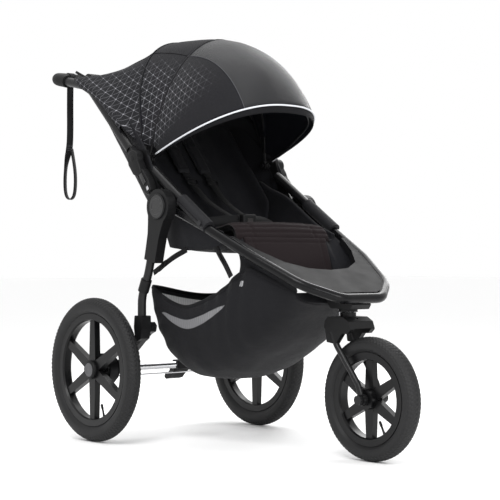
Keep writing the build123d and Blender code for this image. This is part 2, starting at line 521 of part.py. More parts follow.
# ------------------------------------------------------------ basket
# sections across, from back to front: y, rim z, floor z, half width rim, half width floor
SECS = [(-141, 432, 318, 205, 198), (-154, 424, 252, 206, 196), (-178, 412, 206, 206, 190), (-225, 404, 180, 206, 180), (-300, 401, 180, 206, 170), (-370, 404, 204, 206, 166),
        (-430, 418, 238, 205, 164), (-478, 450, 266, 202, 160), (-524, 486, 300, 192, 150), (-580, 458, 350, 166, 128), (-640, 420, 396, 124, 92)]
def ring(y, zr, zf, wr, wf, ins):
    pts = []
    n = 9
    for i in range(n):
        a = math.pi * i / (n - 1)
        c, s = -math.cos(a), math.sin(a)
        e = abs(c) ** 0.62 * (1 if c > 0 else -1)
        x = e * (wr * (1 - s * 0.55) + wf * s * 0.55 - ins)
        z = zr - (zr - zf - ins) * (abs(s) ** 0.62)
        pts.append(P(x, y, z))
    return pts
def strip(i0, i1, j0, j1):
    """closed piece of the tub: sections i0..i1, columns j0..j1 of the ring"""
    faces = []
    def tri(a, b, c):
        if (b - a).cross(c - a).length > 1e-5:
            faces.append(Face(Wire.make_polygon([a, b, c], close=True)))
    def quad(a, b, c, d):
        tri(a, b, c)
        tri(a, c, d)
    out = [ring(*q, 0) for q in SECS[i0:i1 + 1]]
    inn = [ring(*q, 4) for q in SECS[i0:i1 + 1]]
    m = len(out)
    for i in range(m - 1):
        for j in range(j0, j1):
            quad(out[i][j], out[i][j + 1], out[i + 1][j + 1], out[i + 1][j])
            quad(inn[i][j], inn[i + 1][j], inn[i + 1][j + 1], inn[i][j + 1])
        quad(out[i][j0], out[i + 1][j0], inn[i + 1][j0], inn[i][j0])
        quad(out[i][j1], inn[i][j1], inn[i + 1][j1], out[i + 1][j1])
    for j in range(j0, j1):
        quad(out[0][j], inn[0][j], inn[0][j + 1], out[0][j + 1])
        quad(out[-1][j], out[-1][j + 1], inn[-1][j + 1], inn[-1][j])
    return Solid(Shell(faces))
def end_wall(sec, dy):
    """flat end wall with the section's outline"""
    r = ring(*sec, 4.2)
    pts = [(v.X, v.Z) for v in r]
    pl = Plane(origin=(0, r[0].Y, 0), x_dir=(1, 0, 0), z_dir=(0, -1, 0))
    return extrude(pl * make_face(Polyline(*pts, close=True)), amount=dy)
last = len(SECS) - 1
left = [strip(0, 4, 0, 2), strip(4, last, 0, 2)]
right = [strip(0, 4, 6, 8), strip(4, last, 6, 8)]
floor_parts = [strip(0, 3, 2, 6), strip(3, 6, 2, 6), strip(6, last, 2, 6)]
print("basket valid", [q.is_valid for q in left + right + floor_parts], round(sum(q.volume for q in left + right + floor_parts)))
rear_wall = end_wall(SECS[0], -4)
front_wall = end_wall(SECS[-1], 4)
print("walls", [round(q.volume) for q in (rear_wall, front_wall)], rear_wall.bounding_box(), front_wall.bounding_box())
save("basket_sides", *left, *right)
save("basket_floor", *floor_parts)
save("basket_ends", rear_wall, front_wall)

# ------------------------------------------------------------ fork
FY, FZ = -WHEELBASE, FRONT_R
crown = slab_yz(-44, 44, [(SY + 42, 350), (SY + 30, 361), (SY - 24, 361), (SY - 44, 350), (SY - 52, 330), (SY - 40, 319), (SY + 28, 319), (SY + 44, 332)], 5)
crown = crown + slab_yz(-44, 44, [(SY + 40, 330), (SY + 34, 296), (SY + 2, 292), (SY - 26, 326)], 3)
crown = crown - block(-30, 30, SY - 70, SY + 50, 280, 332)
crown = crown + zcyl(0, SY, 340, 371.6, 20)
crown = crown - zcyl(0, SY, 300, 380, 8.0)
crown = crown - zcyl(0, SY + 30, 340, 380, 4.3) - zcyl(0, SY - 30, 340, 380, 4.3)
save("fork_crown", crown)
save("swivel_pin", zcyl(0, SY, 338, 398, 8.0) + zcyl(0, SY, 398, 402, 12))
legf = tube([(-37, SY + 20, 322), (-37, SY + 4, 288), (-33.5, -764, 196), (-33, FY, FZ - 1)], [70, 36], 8, 0)
leg_end = xcyl(-41, -27, FY, FZ, 15)
fl = legf + leg_end - xcyl(-60, 60, FY, FZ, 6.0) - crown
fl = max(fl.solids(), key=lambda q: q.volume)
save("fork_legs", *mirror_x(fl))
save("front_axle", xcyl(-46, 50, FY, FZ, 6.0) + xcyl(-24.3, 24.3, FY, FZ, 8.0) + xcyl(-51, -42.0, FY, FZ, 12))
ql = xcyl(42.0, 50, FY, FZ, 11, 6.0) + slab_yz(44, 50, [(FY + 6, FZ - 8), (FY + 62, FZ + 6), (FY + 64, FZ + 14), (FY, FZ + 10)], 2)
ql = ql - xcyl(30, 60, FY, FZ, 6.05)
save("axle_release_lever", ql)
save("swivel_lock_pin", zcyl(0, SY + 30, 362.5, 412, 4.0))
print("done")
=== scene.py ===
import bpy
import math
import random
from mathutils import Vector, Matrix, noise

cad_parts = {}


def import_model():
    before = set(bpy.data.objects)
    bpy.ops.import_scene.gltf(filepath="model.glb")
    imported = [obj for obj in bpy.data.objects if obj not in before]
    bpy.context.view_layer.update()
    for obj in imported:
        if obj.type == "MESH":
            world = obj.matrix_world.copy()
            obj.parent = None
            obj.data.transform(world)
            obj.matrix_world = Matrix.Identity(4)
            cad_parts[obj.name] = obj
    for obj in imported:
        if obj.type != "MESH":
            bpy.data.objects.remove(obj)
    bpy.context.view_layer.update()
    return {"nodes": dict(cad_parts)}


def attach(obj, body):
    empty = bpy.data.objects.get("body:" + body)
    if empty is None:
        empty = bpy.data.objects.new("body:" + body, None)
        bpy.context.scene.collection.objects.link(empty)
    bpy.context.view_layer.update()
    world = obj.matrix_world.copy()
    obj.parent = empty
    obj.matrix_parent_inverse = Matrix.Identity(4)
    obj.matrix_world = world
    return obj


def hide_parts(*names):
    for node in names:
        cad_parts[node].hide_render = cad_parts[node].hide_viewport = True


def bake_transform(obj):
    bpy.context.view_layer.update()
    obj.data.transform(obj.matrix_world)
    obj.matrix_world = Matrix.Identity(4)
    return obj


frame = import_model()
N = frame["nodes"]

OY = 311.75          # rear axle's y in the row frame, mm


def P(x, y, z):
    """mm, with y measured from the rear axle, to the row frame in metres"""
    return Vector((x / 1000.0, (y + OY) / 1000.0, z / 1000.0))


def lerp(a, b, k):
    return a + (b - a) * k


def smooth(e0, e1, x):
    k = max(0.0, min(1.0, (x - e0) / (e1 - e0)))
    return k * k * (3 - 2 * k)


# ------------------------------------------------------------------ camera, lights and floor
cam_data = bpy.data.cameras.new("camera")
cam = bpy.data.objects.new("camera", cam_data)
bpy.context.scene.collection.objects.link(cam)
cam_data.lens = 101.66
cam_data.sensor_width = 36.0
cam_data.clip_end = 100
right = Vector((0.75587, -0.65472, 0.0))
up = Vector((-0.00466, -0.00539, 0.99997))
back = Vector((-0.65471, -0.75585, -0.00712))
loc = Vector((-2.5514, (-3260.0 + OY) / 1000.0, 0.5051))
cam.matrix_world = Matrix(((right.x, up.x, back.x, loc.x), (right.y, up.y, back.y, loc.y), (right.z, up.z, back.z, loc.z), (0, 0, 0, 1)))
bpy.context.scene.camera = cam


def area(name, where, at, size, power, color=(1, 1, 1), size_y=None):
    d = bpy.data.lights.new(name, "AREA")
    d.energy = power
    d.color = color
    d.size = size
    if size_y:
        d.shape = "RECTANGLE"
        d.size_y = size_y
    o = bpy.data.objects.new(name, d)
    bpy.context.scene.collection.objects.link(o)
    o.location = where
    o.rotation_euler = (Vector(at) - Vector(where)).to_track_quat("-Z", "Y").to_euler()
    return o


area("key", (-2.2, -1.6, 3.0), (0, -0.1, 0.5), 1.3, 60)
area("rim", (2.4, 1.0, 2.0), (0, -0.2, 0.5), 1.4, 34, size_y=2.2)
area("top", (0.3, 0.6, 3.2), (0, 0, 0.6), 2.2, 34)
area("front", (-0.6, -3.2, 1.5), (0, -0.1, 0.6), 1.2, 34)
world = bpy.data.worlds.new("world")
bpy.context.scene.world = world
world.use_nodes = True
world.node_tree.nodes["Background"].inputs[0].default_value = (1, 1, 1, 1)
world.node_tree.nodes["Background"].inputs[1].default_value = 1.0
bpy.context.scene.view_settings.view_transform = "Standard"
bpy.context.scene.view_settings.look = "None"


# ------------------------------------------------------------------ materials
class Mat:
    def __init__(self, name, color, rough=0.5, metal=0.0):
        self.m = bpy.data.materials.new(name)
        self.m.use_nodes = True
        self.t = self.m.node_tree
        self.b = self.t.nodes["Principled BSDF"]
        self.set("Base Color", (*color, 1.0))
        self.set("Roughness", rough)
        self.set("Metallic", metal)
        self.height = None
        self._co = None

    def set(self, socket, v):
        self.b.inputs[socket].default_value = v

    def node(self, kind, ins=None, **props):
        n = self.t.nodes.new(kind)
        for k, v in props.items():
            setattr(n, k, v)
        for k, v in (ins or {}).items():
            if hasattr(v, "is_output") or isinstance(v, bpy.types.NodeSocket):
                self.t.links.new(v, n.inputs[k])
            else:
                n.inputs[k].default_value = v
        return n

    def co(self):
        if self._co is None:
            self._co = self.node("ShaderNodeTexCoord").outputs["Object"]
        return self._co

    def math(self, op, a, b=0.0, clamp=False):
        n = self.node("ShaderNodeMath", {0: a, 1: b}, operation=op)
        n.use_clamp = clamp
        return n.outputs[0]

    def noise(self, scale, detail=2.0, rough=0.5, vector=None):
        return self.node("ShaderNodeTexNoise", {"Vector": vector or self.co(), "Scale": scale, "Detail": detail, "Roughness": rough}).outputs[0]

    def ramp(self, fac, lo, hi, a, b):
        """map fac from lo..hi to a..b"""
        return self.node("ShaderNodeMapRange", {0: fac, 1: lo, 2: hi, 3: a, 4: b}).outputs[0]

    def mix(self, fac, a, b):
        n = self.node("ShaderNodeMix", data_type="RGBA")
        for i, v in ((0, fac), (6, a), (7, b)):
            if isinstance(v, bpy.types.NodeSocket):
                self.t.links.new(v, n.inputs[i])
            else:
                n.inputs[i].default_value = v if i == 0 else (*v, 1.0)
        return n.outputs[2]

    def color(self, socket):
        self.t.links.new(socket, self.b.inputs["Base Color"])

    def roughness(self, socket):
        self.t.links.new(socket, self.b.inputs["Roughness"])

    def bump(self, h, dist, strength=1.0):
        ins = {"Strength": strength, "Distance": dist, "Height": h}
        n = self.node("ShaderNodeBump", ins)
        if self.height is not None:
            self.t.links.new(self.height, n.inputs["Normal"])
        self.height = n.outputs[0]
        self.t.links.new(self.height, self.b.inputs["Normal"])


def weave(m, pitch, dist, strength=0.5):
    """plain weave: two thread directions, by the object's own coordinates"""
    sep = m.node("ShaderNodeSeparateXYZ", {0: m.co()})
    k = 2 * math.pi / pitch
    a = m.math("ADD", sep.outputs[1], sep.outputs[0])
    b = m.math("SUBTRACT", sep.outputs[2], m.math("MULTIPLY", sep.outputs[1], 0.35))
    s1 = m.math("SINE", m.math("MULTIPLY", a, k))
    s2 = m.math("SINE", m.math("MULTIPLY", b, k))
    h = m.math("MULTIPLY", s1, s2)
    m.bump(h, dist, strength)
    return h


def fabric(name, c, melange=0.3, rough=0.85, sheen=0.12, pitch=0.0012, wrinkle=0.0, wscale=9.0, tint=None):
    m = Mat(name, c, rough)
    n1 = m.noise(620, 3, 0.65)
    n2 = m.noise(7, 3, 0.5)
    f = m.ramp(n1, 0.32, 0.68, 0.0, 1.0)
    lo = tuple(v * (1 - melange) for v in c)
    hi = tuple(v * (1 + melange) for v in (tint or c))
    col = m.mix(f, lo, hi)
    n = m.node("ShaderNodeMix", data_type="RGBA", blend_type="MULTIPLY")
    n.inputs[0].default_value = 0.35
    m.t.links.new(col, n.inputs[6])
    m.t.links.new(m.mix(n2, (0.6, 0.6, 0.6), (1.3, 1.3, 1.3)), n.inputs[7])
    m.color(n.outputs[2])
    m.set("Sheen Weight", sheen)
    m.set("Sheen Roughness", 0.5)
    m.set("Specular IOR Level", 0.16)
    m.roughness(m.ramp(n1, 0.3, 0.7, rough - 0.06, rough + 0.05))
    weave(m, pitch, 0.00025, 0.35)
    if wrinkle:
        d = m.noise(wscale, 3, 0.55)
        m.bump(d, wrinkle, 0.6)
    return m


def plastic(name, c, rough=0.42, grain=900, dist=0.0001, coat=0.0, spec=0.22):
    m = Mat(name, c, rough)
    n1 = m.noise(grain, 2, 0.6)
    n2 = m.noise(14, 4, 0.6)
    m.roughness(m.ramp(n2, 0.3, 0.7, rough - 0.05, rough + 0.07))
    m.color(m.mix(n2, tuple(v * 0.85 for v in c), tuple(v * 1.2 for v in c)))
    m.bump(n1, dist, 0.4)
    m.set("Coat Weight", coat)
    m.set("Coat Roughness", 0.12)
    m.set("Specular IOR Level", spec)
    return m


M = {}
M["satin"] = plastic("satin_black_paint", (0.0055, 0.0055, 0.006), 0.36, 1500, 0.00004, 0.05, 0.25)
M["gloss"] = plastic("gloss_black_paint", (0.003, 0.003, 0.0035), 0.26, 1800, 0.00002, 0.06, 0.14)
M["plastic"] = plastic("black_plastic", (0.0048, 0.0048, 0.0052), 0.45, 1100, 0.0001, 0.0, 0.18)
M["tray"] = plastic("tray_plastic", (0.0088, 0.0088, 0.0093), 0.46, 1300, 0.00008, 0.0, 0.04)
M["wheel"] = plastic("wheel_plastic", (0.003, 0.003, 0.0034), 0.34, 900, 0.00004, 0.05, 0.22)
M["badge"] = plastic("badge_plastic", (0.0030, 0.0030, 0.0034), 0.22, 900, 0.00003, 0.3, 0.4)
M["foam"] = plastic("grip_foam", (0.0065, 0.0065, 0.0065), 0.62, 700, 0.0004, 0.0, 0.2)
M["rubber"] = plastic("rubber_black", (0.005, 0.005, 0.005), 0.55, 700, 0.0001, 0.0, 0.2)
m = plastic("button_plastic", (0.022, 0.020, 0.020), 0.35, 900, 0.00004)
M["red"] = m


def metal(name, c, rough, along="x"):
    m = Mat(name, c, rough, 1.0)
    mp = m.node("ShaderNodeMapping", {0: m.co(), 3: (4, 700, 700) if along == "x" else (260, 260, 260)})
    n1 = m.noise(1.0, 3, 0.6, mp.outputs[0])
    m.roughness(m.ramp(n1, 0.3, 0.7, rough - 0.06, rough + 0.1))
    m.bump(n1, 0.00005, 0.3)
    return m


M["chrome"] = metal("bright_steel", (0.72, 0.72, 0.74), 0.16)
M["steel"] = metal("brushed_steel", (0.5, 0.5, 0.52), 0.3, "all")
M["cap"] = metal("cap_metal", (0.12, 0.12, 0.125), 0.34, "all")
M["pin"] = metal("blackened_steel", (0.045, 0.045, 0.048), 0.42, "all")
M["drum"] = metal("drum_metal", (0.02, 0.02, 0.021), 0.42, "all")

# tyre rubber: dusty and matt, one finish over the sides and crown
m = plastic("tyre_rubber", (0.0085, 0.0085, 0.009), 0.58, 420, 0.00025, 0.0, 0.3)
M["tyre"] = m

# cloths
M["canopy_top"] = fabric("canopy_cloth_top", (0.0085, 0.0085, 0.0102), 0.75, 0.82, 0.03, 0.0011, 0.0035, 11)
M["visor"] = fabric("visor_cloth", (0.0125, 0.0127, 0.0142), 0.35, 0.42, 0.05, 0.0009, 0.0016, 6)
M["lining"] = fabric("canopy_lining", (0.0016, 0.0019, 0.0044), 0.25, 0.8, 0.01, 0.0012, 0.001, 10)
M["seat"] = fabric("seat_cloth", (0.0060, 0.0061, 0.0080), 0.4, 0.82, 0.04, 0.0014, 0.0045, 12)
M["seat_plum"] = fabric("seat_cloth_plum", (0.0100, 0.0062, 0.0070), 0.25, 0.88, 0.02, 0.0014, 0.001, 14)
M["basket"] = fabric("basket_cloth", (0.0028, 0.0029, 0.0040), 0.3, 0.72, 0.02, 0.0013, 0.003, 9)
M["sleeve"] = fabric("sleeve_cloth", (0.0080, 0.0080, 0.0095), 0.3, 0.62, 0.04, 0.0011, 0.001, 30)
M["binding"] = fabric("binding_cloth", (0.003, 0.003, 0.004), 0.2, 0.75, 0.02, 0.001)
M["web"] = fabric("webbing", (0.004, 0.004, 0.0045), 0.25, 0.7, 0.04, 0.0022)
M["thread"] = fabric("seam_thread", (0.06, 0.06, 0.066), 0.2, 0.7, 0.0, 0.001)
M["thread_dark"] = fabric("seam_thread_dark", (0.0022, 0.002, 0.003), 0.2, 0.8, 0.0, 0.001)
m = fabric("reflective_piping", (0.62, 0.63, 0.66), 0.08, 0.42, 0.0, 0.0009)
M["piping"] = m


# canopy side cloth: charcoal melange with a printed grid of triangles and dots
def print_cloth(name):
    m = Mat(name, (0.012, 0.012, 0.014), 0.82)
    uvn = m.node("ShaderNodeUVMap", uv_map="cloth")
    sep = m.node("ShaderNodeSeparateXYZ", {0: uvn.outputs[0]})
    u, v = sep.outputs[0], sep.outputs[1]         # metres along the cloth
    side = 0.0225
    h = side * math.sqrt(3) / 2
    lines, dots = None, None
    for ang in (0, 60, 120):
        ca, sa = math.cos(math.radians(ang)), math.sin(math.radians(ang))
        d = m.math("ADD", m.math("MULTIPLY", u, ca / h), m.math("MULTIPLY", v, sa / h))
        e = m.math("ABSOLUTE", m.math("SUBTRACT", m.math("FRACT", m.math("ADD", d, 0.5)), 0.5))
        ln = m.ramp(e, 0.022, 0.04, 1.0, 0.0)
        dt = m.ramp(e, 0.07, 0.10, 1.0, 0.0)
        lines = ln if lines is None else m.math("MAXIMUM", lines, ln)
        dots = dt if dots is None else m.math("MULTIPLY", dots, dt)
    fade = m.node("ShaderNodeAttribute", attribute_name="fade").outputs["Fac"]
    worn = m.ramp(m.noise(26, 3, 0.6), 0.3, 0.7, 0.55, 1.0)
    n1 = m.noise(620, 3, 0.65)
    base = m.mix(m.ramp(n1, 0.32, 0.68, 0, 1), (0.0028, 0.0028, 0.004), (0.0150, 0.0150, 0.0175))
    k1 = m.math("MULTIPLY", m.math("MULTIPLY", lines, fade), m.math("MULTIPLY", worn, 0.42))
    k2 = m.math("MULTIPLY", m.math("MULTIPLY", dots, fade), 0.95)
    col = m.mix(m.math("MAXIMUM", k1, k2, True), (0, 0, 0), (0.27, 0.27, 0.29))
    n = m.node("ShaderNodeMix", data_type="RGBA", blend_type="ADD")
    n.inputs[0].default_value = 1.0
    m.t.links.new(base, n.inputs[6])
    m.t.links.new(col, n.inputs[7])
    m.color(n.outputs[2])
    m.set("Sheen Weight", 0.03)
    m.set("Specular IOR Level", 0.16)
    weave(m, 0.0011, 0.00025, 0.35)
    m.bump(m.noise(11, 3, 0.55), 0.0012, 0.6)
    return m


M["print"] = print_cloth("canopy_cloth_print")


# basket cloth with see-through mesh windows, by a signed distance stored on the vertices
def window_cloth(name):
    m = fabric(name, (0.0048, 0.0048, 0.0062), 0.4, 0.72, 0.03, 0.0013, 0.007, 11)
    w = m.node("ShaderNodeAttribute", attribute_name="window").outputs["Fac"]
    inside = m.ramp(w, 0.0, 0.0006, 0.0, 1.0)
    uvn = m.node("ShaderNodeUVMap", uv_map="cloth")
    sep = m.node("ShaderNodeSeparateXYZ", {0: uvn.outputs[0]})
    wob = m.math("MULTIPLY", m.noise(60, 1, 0.5), 0.0035)
    t1 = m.math("ABSOLUTE", m.math("SUBTRACT", m.math("FRACT", m.math("MULTIPLY", m.math("ADD", sep.outputs[0], wob), 1 / 0.0085)), 0.5))
    t2 = m.math("ABSOLUTE", m.math("SUBTRACT", m.math("FRACT", m.math("MULTIPLY", sep.outputs[1], 1 / 0.0035)), 0.5))
    thread = m.math("MAXIMUM", m.ramp(t1, 0.40, 0.44, 0.0, 0.75), m.ramp(t2, 0.36, 0.42, 0.0, 0.30))
    mesh_col = m.mix(thread, (0.27, 0.27, 0.28), (0.04, 0.04, 0.043))
    cloth_col = m.b.inputs["Base Color"].links[0].from_socket
    nmix = m.node("ShaderNodeMix", data_type="RGBA")
    m.t.links.new(inside, nmix.inputs[0])
    m.t.links.new(cloth_col, nmix.inputs[6])
    m.t.links.new(mesh_col, nmix.inputs[7])
    m.color(nmix.outputs[2])
    # 0 solid cloth, 1 hole
    hole = m.math("MULTIPLY", inside, m.math("SUBTRACT", 0.45, m.math("MULTIPLY", thread, 0.45)), True)
    tr = m.node("ShaderNodeBsdfTransparent")
    mx = m.node("ShaderNodeMixShader")
    out = m.t.nodes["Material Output"]
    m.t.links.new(hole, mx.inputs[0])
    m.t.links.new(m.b.outputs[0], mx.inputs[1])
    m.t.links.new(tr.outputs[0], mx.inputs[2])
    m.t.links.new(mx.outputs[0], out.inputs[0])
    return m


M["window"] = window_cloth("basket_window_cloth")

# floor
fm = Mat("floor_pale", (0.975, 0.975, 0.975), 0.75)
fm.roughness(fm.ramp(fm.noise(3, 2), 0.3, 0.7, 0.7, 0.8))
fm.set("Specular IOR Level", 0.15)
bpy.ops.mesh.primitive_plane_add(size=60, location=(0, 0, 0))
floor = bpy.context.object
floor.name = "floor"
floor.data.materials.append(fm.m)

# finishes of the CAD nodes that stay
finish_of = {}
for n in N:
    k = "satin"
    if n.endswith("_rim"):
        k = "wheel"
    elif n in ("rear_axle_tube", "brake_link_rod"):
        k = "chrome"
    elif n == "hub_caps":
        k = "cap"
    elif n == "front_axle":
        k = "satin"
    elif n in ("fold_pivot_pins", "frame_bolts"):
        k = "pin"
    elif n in ("swivel_pin", "swivel_lock_pin"):
        k = "steel"
    elif n == "front_loop_tube":
        k = "gloss"
    elif n == "tray_panel":
        k = "tray"
    elif n == "hub_badges":
        k = "badge"
    elif n == "drum_brakes":
        k = "drum"
    elif n == "armrest_sleeves":
        k = "sleeve"
    elif n == "handle_grip":
        k = "foam"
    elif n in ("brake_cable_upper",):
        k = "rubber"
    elif n == "buckle_button":
        k = "red"
    elif n in ("hub_covers", "fold_brackets", "leg_collars", "leg_brackets", "head_bracket", "fork_crown", "brake_perch", "wheel_lock_perch", "wheel_lock_lever",
               "parking_brake_pedal", "brake_pedal_bracket", "harness_buckle", "hub_bosses", "canopy_front_bow", "canopy_mid_bow", "canopy_rear_bow"):
        k = "plastic"
    elif n in ("crotch_strap", "wrist_strap_cuff"):
        k = "web"
    finish_of[n] = k
for n, o in N.items():
    o.data.materials.clear()
    o.data.materials.append(M[finish_of[n]].m)


# ------------------------------------------------------------------ mesh helpers
def obj(name, verts, faces, mats, face_mat=None, uv=None, attrs=None, smooth_shade=True):
    me = bpy.data.meshes.new(name)
    me.from_pydata([tuple(v) for v in verts], [], faces)
    for m in mats:
        me.materials.append(M[m].m)
    if face_mat:
        me.polygons.foreach_set("material_index", face_mat)
    if uv:
        layer = me.uv_layers.new(name="cloth")
        for i, l in enumerate(me.loops):
            layer.data[i].uv = uv[l.vertex_index]
    for k, vals in (attrs or {}).items():
        a = me.attributes.new(k, "FLOAT", "POINT")
        a.data.foreach_set("value", vals)
    if smooth_shade:
        me.polygons.foreach_set("use_smooth", [True] * len(me.polygons))
    me.validate()
    me.update()
    o = bpy.data.objects.new(name, me)
    bpy.context.scene.collection.objects.link(o)
    return o


def grid_normals(g, flip=False):
    n, m = len(g), len(g[0])
    out = []
    for i in range(n):
        row = []
        for j in range(m):
            du = g[min(i + 1, n - 1)][j] - g[max(i - 1, 0)][j]
            dv = g[i][min(j + 1, m - 1)] - g[i][max(j - 1, 0)]
            c = du.cross(dv)
            c = c.normalized() if c.length > 1e-12 else Vector((0, 0, 1))
            row.append(-c if flip else c)
        out.append(row)
    return out


def shell(name, g, thick, mats, outer=None, inner=0, flip=False, fade=None, window=None, uvs=None):
    """closed thin shell: g is the outer surface, the inner one is thick behind it. outer(i, j) gives a face's material"""
    n, m = len(g), len(g[0])
    nn = grid_normals(g, flip)
    verts = [g[i][j] for i in range(n) for j in range(m)] + [g[i][j] - nn[i][j] * thick for i in range(n) for j in range(m)]
    K = n * m
    faces, fm = [], []

    def add(q, k):
        faces.append(q)
        fm.append(k)

    for i in range(n - 1):
        for j in range(m - 1):
            a, b, c, d = i * m + j, i * m + j + 1, (i + 1) * m + j + 1, (i + 1) * m + j
            k = outer(i, j) if outer else 0
            q = (a, d, c, b)
            r = (a + K, b + K, c + K, d + K)
            if flip:
                q, r = q[::-1], r[::-1]
            add(q, k)
            add(r, inner)
    for i in range(n - 1):
        for j, f in ((0, False), (m - 1, True)):
            a, d = i * m + j, (i + 1) * m + j
            q = (a, a + K, d + K, d)
            add(q[::-1] if f != flip else q, inner)
    for j in range(m - 1):
        for i, f in ((0, True), (n - 1, False)):
            a, b = i * m + j, i * m + j + 1
            q = (a, a + K, b + K, b)
            add(q[::-1] if f != flip else q, inner)
    uv = None
    if uvs:
        uv = [uvs[i][j] for i in range(n) for j in range(m)] * 2
    attrs = {}
    if fade:
        attrs["fade"] = [fade[i][j] for i in range(n) for j in range(m)] * 2
    if window:
        attrs["window"] = [window[i][j] for i in range(n) for j in range(m)] * 2
    return obj(name, verts, faces, mats, fm, uv, attrs)


def catmull(pts, n, closed=False):
    pts = [Vector(p) for p in pts]
    out = []
    k = len(pts)
    rng = k if closed else k - 1
    for i in range(rng):
        p0 = pts[(i - 1) % k] if closed or i > 0 else pts[0] * 2 - pts[1]
        p1, p2 = pts[i], pts[(i + 1) % k]
        p3 = pts[(i + 2) % k] if closed or i + 2 < k else pts[-1] * 2 - pts[-2]
        for s in range(n):
            t = s / n
            out.append(0.5 * ((2 * p1) + (p2 - p0) * t + (2 * p0 - 5 * p1 + 4 * p2 - p3) * t * t + (3 * p1 - p0 - 3 * p2 + p3) * t ** 3))
    if not closed:
        out.append(pts[-1].copy())
    return out


def frames(pts, first=None):
    """parallel transport: tangent, side and up at each point"""
    T = []
    for i in range(len(pts)):
        d = pts[min(i + 1, len(pts) - 1)] - pts[max(i - 1, 0)]
        T.append(d.normalized() if d.length > 1e-12 else Vector((0, 0, 1)))
    s = first or (Vector((0, 0, 1)) if abs(T[0].z) < 0.9 else Vector((1, 0, 0)))
    s = (s - T[0] * s.dot(T[0])).normalized()
    out = []
    for t in T:
        s = (s - t * s.dot(t)).normalized()
        out.append((t, s, t.cross(s)))
    return out


def sweep(name, pts, section, mat, closed=False, first=None, caps=True, scale=None):
    """section: list of (a, b) along the side and up directions, in metres"""
    F = frames(pts, first)
    k = len(section)
    verts = []
    for i, (p, (t, s, u)) in enumerate(zip(pts, F)):
        z = scale(i / (len(pts) - 1)) if scale else 1.0
        verts += [p + s * a * z + u * b * z for a, b in section]
    faces = []
    n = len(pts)
    for i in range(n if closed else n - 1):
        for j in range(k):
            a, b = i * k + j, i * k + (j + 1) % k
            c, d = ((i + 1) % n) * k + (j + 1) % k, ((i + 1) % n) * k + j
            faces.append((a, b, c, d))
    if caps and not closed:
        faces.append(tuple(range(k))[::-1])
        faces.append(tuple((n - 1) * k + j for j in range(k)))
    return obj(name, verts, faces, [mat])


def circle(r, n=10):
    return [(r * math.cos(2 * math.pi * i / n), r * math.sin(2 * math.pi * i / n)) for i in range(n)]


def flat(w, t, n=3):
    """rounded flat webbing section, w across and t thick"""
    a, b = w / 2, t / 2
    return [(-a + b, -b), (0, -b * 1.08), (a - b, -b), (a, 0), (a - b, b), (0, b * 1.08), (-a + b, b), (-a, 0)]


def lathe_x(name, mat, y, z, prof, n=40, x_sign=1.0, body=None):
    """turned about the X axis through y, z; prof is a list of (x, r) in mm"""
    verts, faces = [], []
    k = len(prof)
    for i in range(n):
        a = 2 * math.pi * i / n
        for x, r in prof:
            verts.append(P(x * x_sign, y + r * math.cos(a), z + r * math.sin(a)))
    for i in range(n):
        for j in range(k - 1):
            q = (i * k + j, i * k + j + 1, ((i + 1) % n) * k + j + 1, ((i + 1) % n) * k + j)
            faces.append(q if x_sign > 0 else q[::-1])
    o = obj(name, verts, faces, [mat])
    if body:
        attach(o, body)
    return o


def subdiv(o, levels=1):
    mod = o.modifiers.new("sub", "SUBSURF")
    mod.levels = mod.render_levels = levels
    bpy.context.view_layer.objects.active = o
    for x in bpy.context.selected_objects:
        x.select_set(False)
    o.select_set(True)
    bpy.ops.object.modifier_apply(modifier=mod.name)
    return o


def join(name, objs):
    for x in bpy.context.selected_objects:
        x.select_set(False)
    for o in objs:
        o.select_set(True)
    bpy.context.view_layer.objects.active = objs[0]
    bpy.ops.object.join()
    o = bpy.context.view_layer.objects.active
    o.name = name
    o.data.name = name
    return o


# ------------------------------------------------------------------ wrist strap (the cord comes first)
BY, BZ = 295.0, 1046.0
TX, WZ = -186.0, 1046.0 - 18 - 2.4
strap_route = [(TX, BY, WZ), (TX, BY + 1, WZ - 61), (TX + 0.5, BY + 0.5, WZ - 125), (TX - 1, BY + 1, WZ - 184),
               (TX - 8, BY + 8, WZ - 223), (TX - 11, BY + 11, WZ - 267), (TX - 11, BY + 11, WZ - 306), (TX - 8, BY + 8, WZ - 331),
               (TX, BY, WZ - 341), (TX + 8, BY - 8, WZ - 331), (TX + 11, BY - 11, WZ - 307), (TX + 11.5, BY - 11.5, WZ - 267),
               (TX + 8, BY - 8, WZ - 225), (TX + 3.2, BY - 3.2, WZ - 187)]


def nurbs_points(name, route, res=10):
    c = bpy.data.curves.new(name, "CURVE")
    c.dimensions = "3D"
    sp = c.splines.new("NURBS")
    sp.points.add(len(route) - 1)
    for p, q in zip(sp.points, route):
        v = P(*q)
        p.co = (v.x, v.y, v.z, 1.0)
    sp.order_u = 3
    sp.use_endpoint_u = True
    sp.resolution_u = res
    c.resolution_u = res
    o = bpy.data.objects.new(name, c)
    bpy.context.scene.collection.objects.link(o)
    bpy.context.view_layer.update()
    me = bpy.data.meshes.new_from_object(o)
    pts = [v.co.copy() for v in me.vertices]
    bpy.data.objects.remove(o)
    return pts


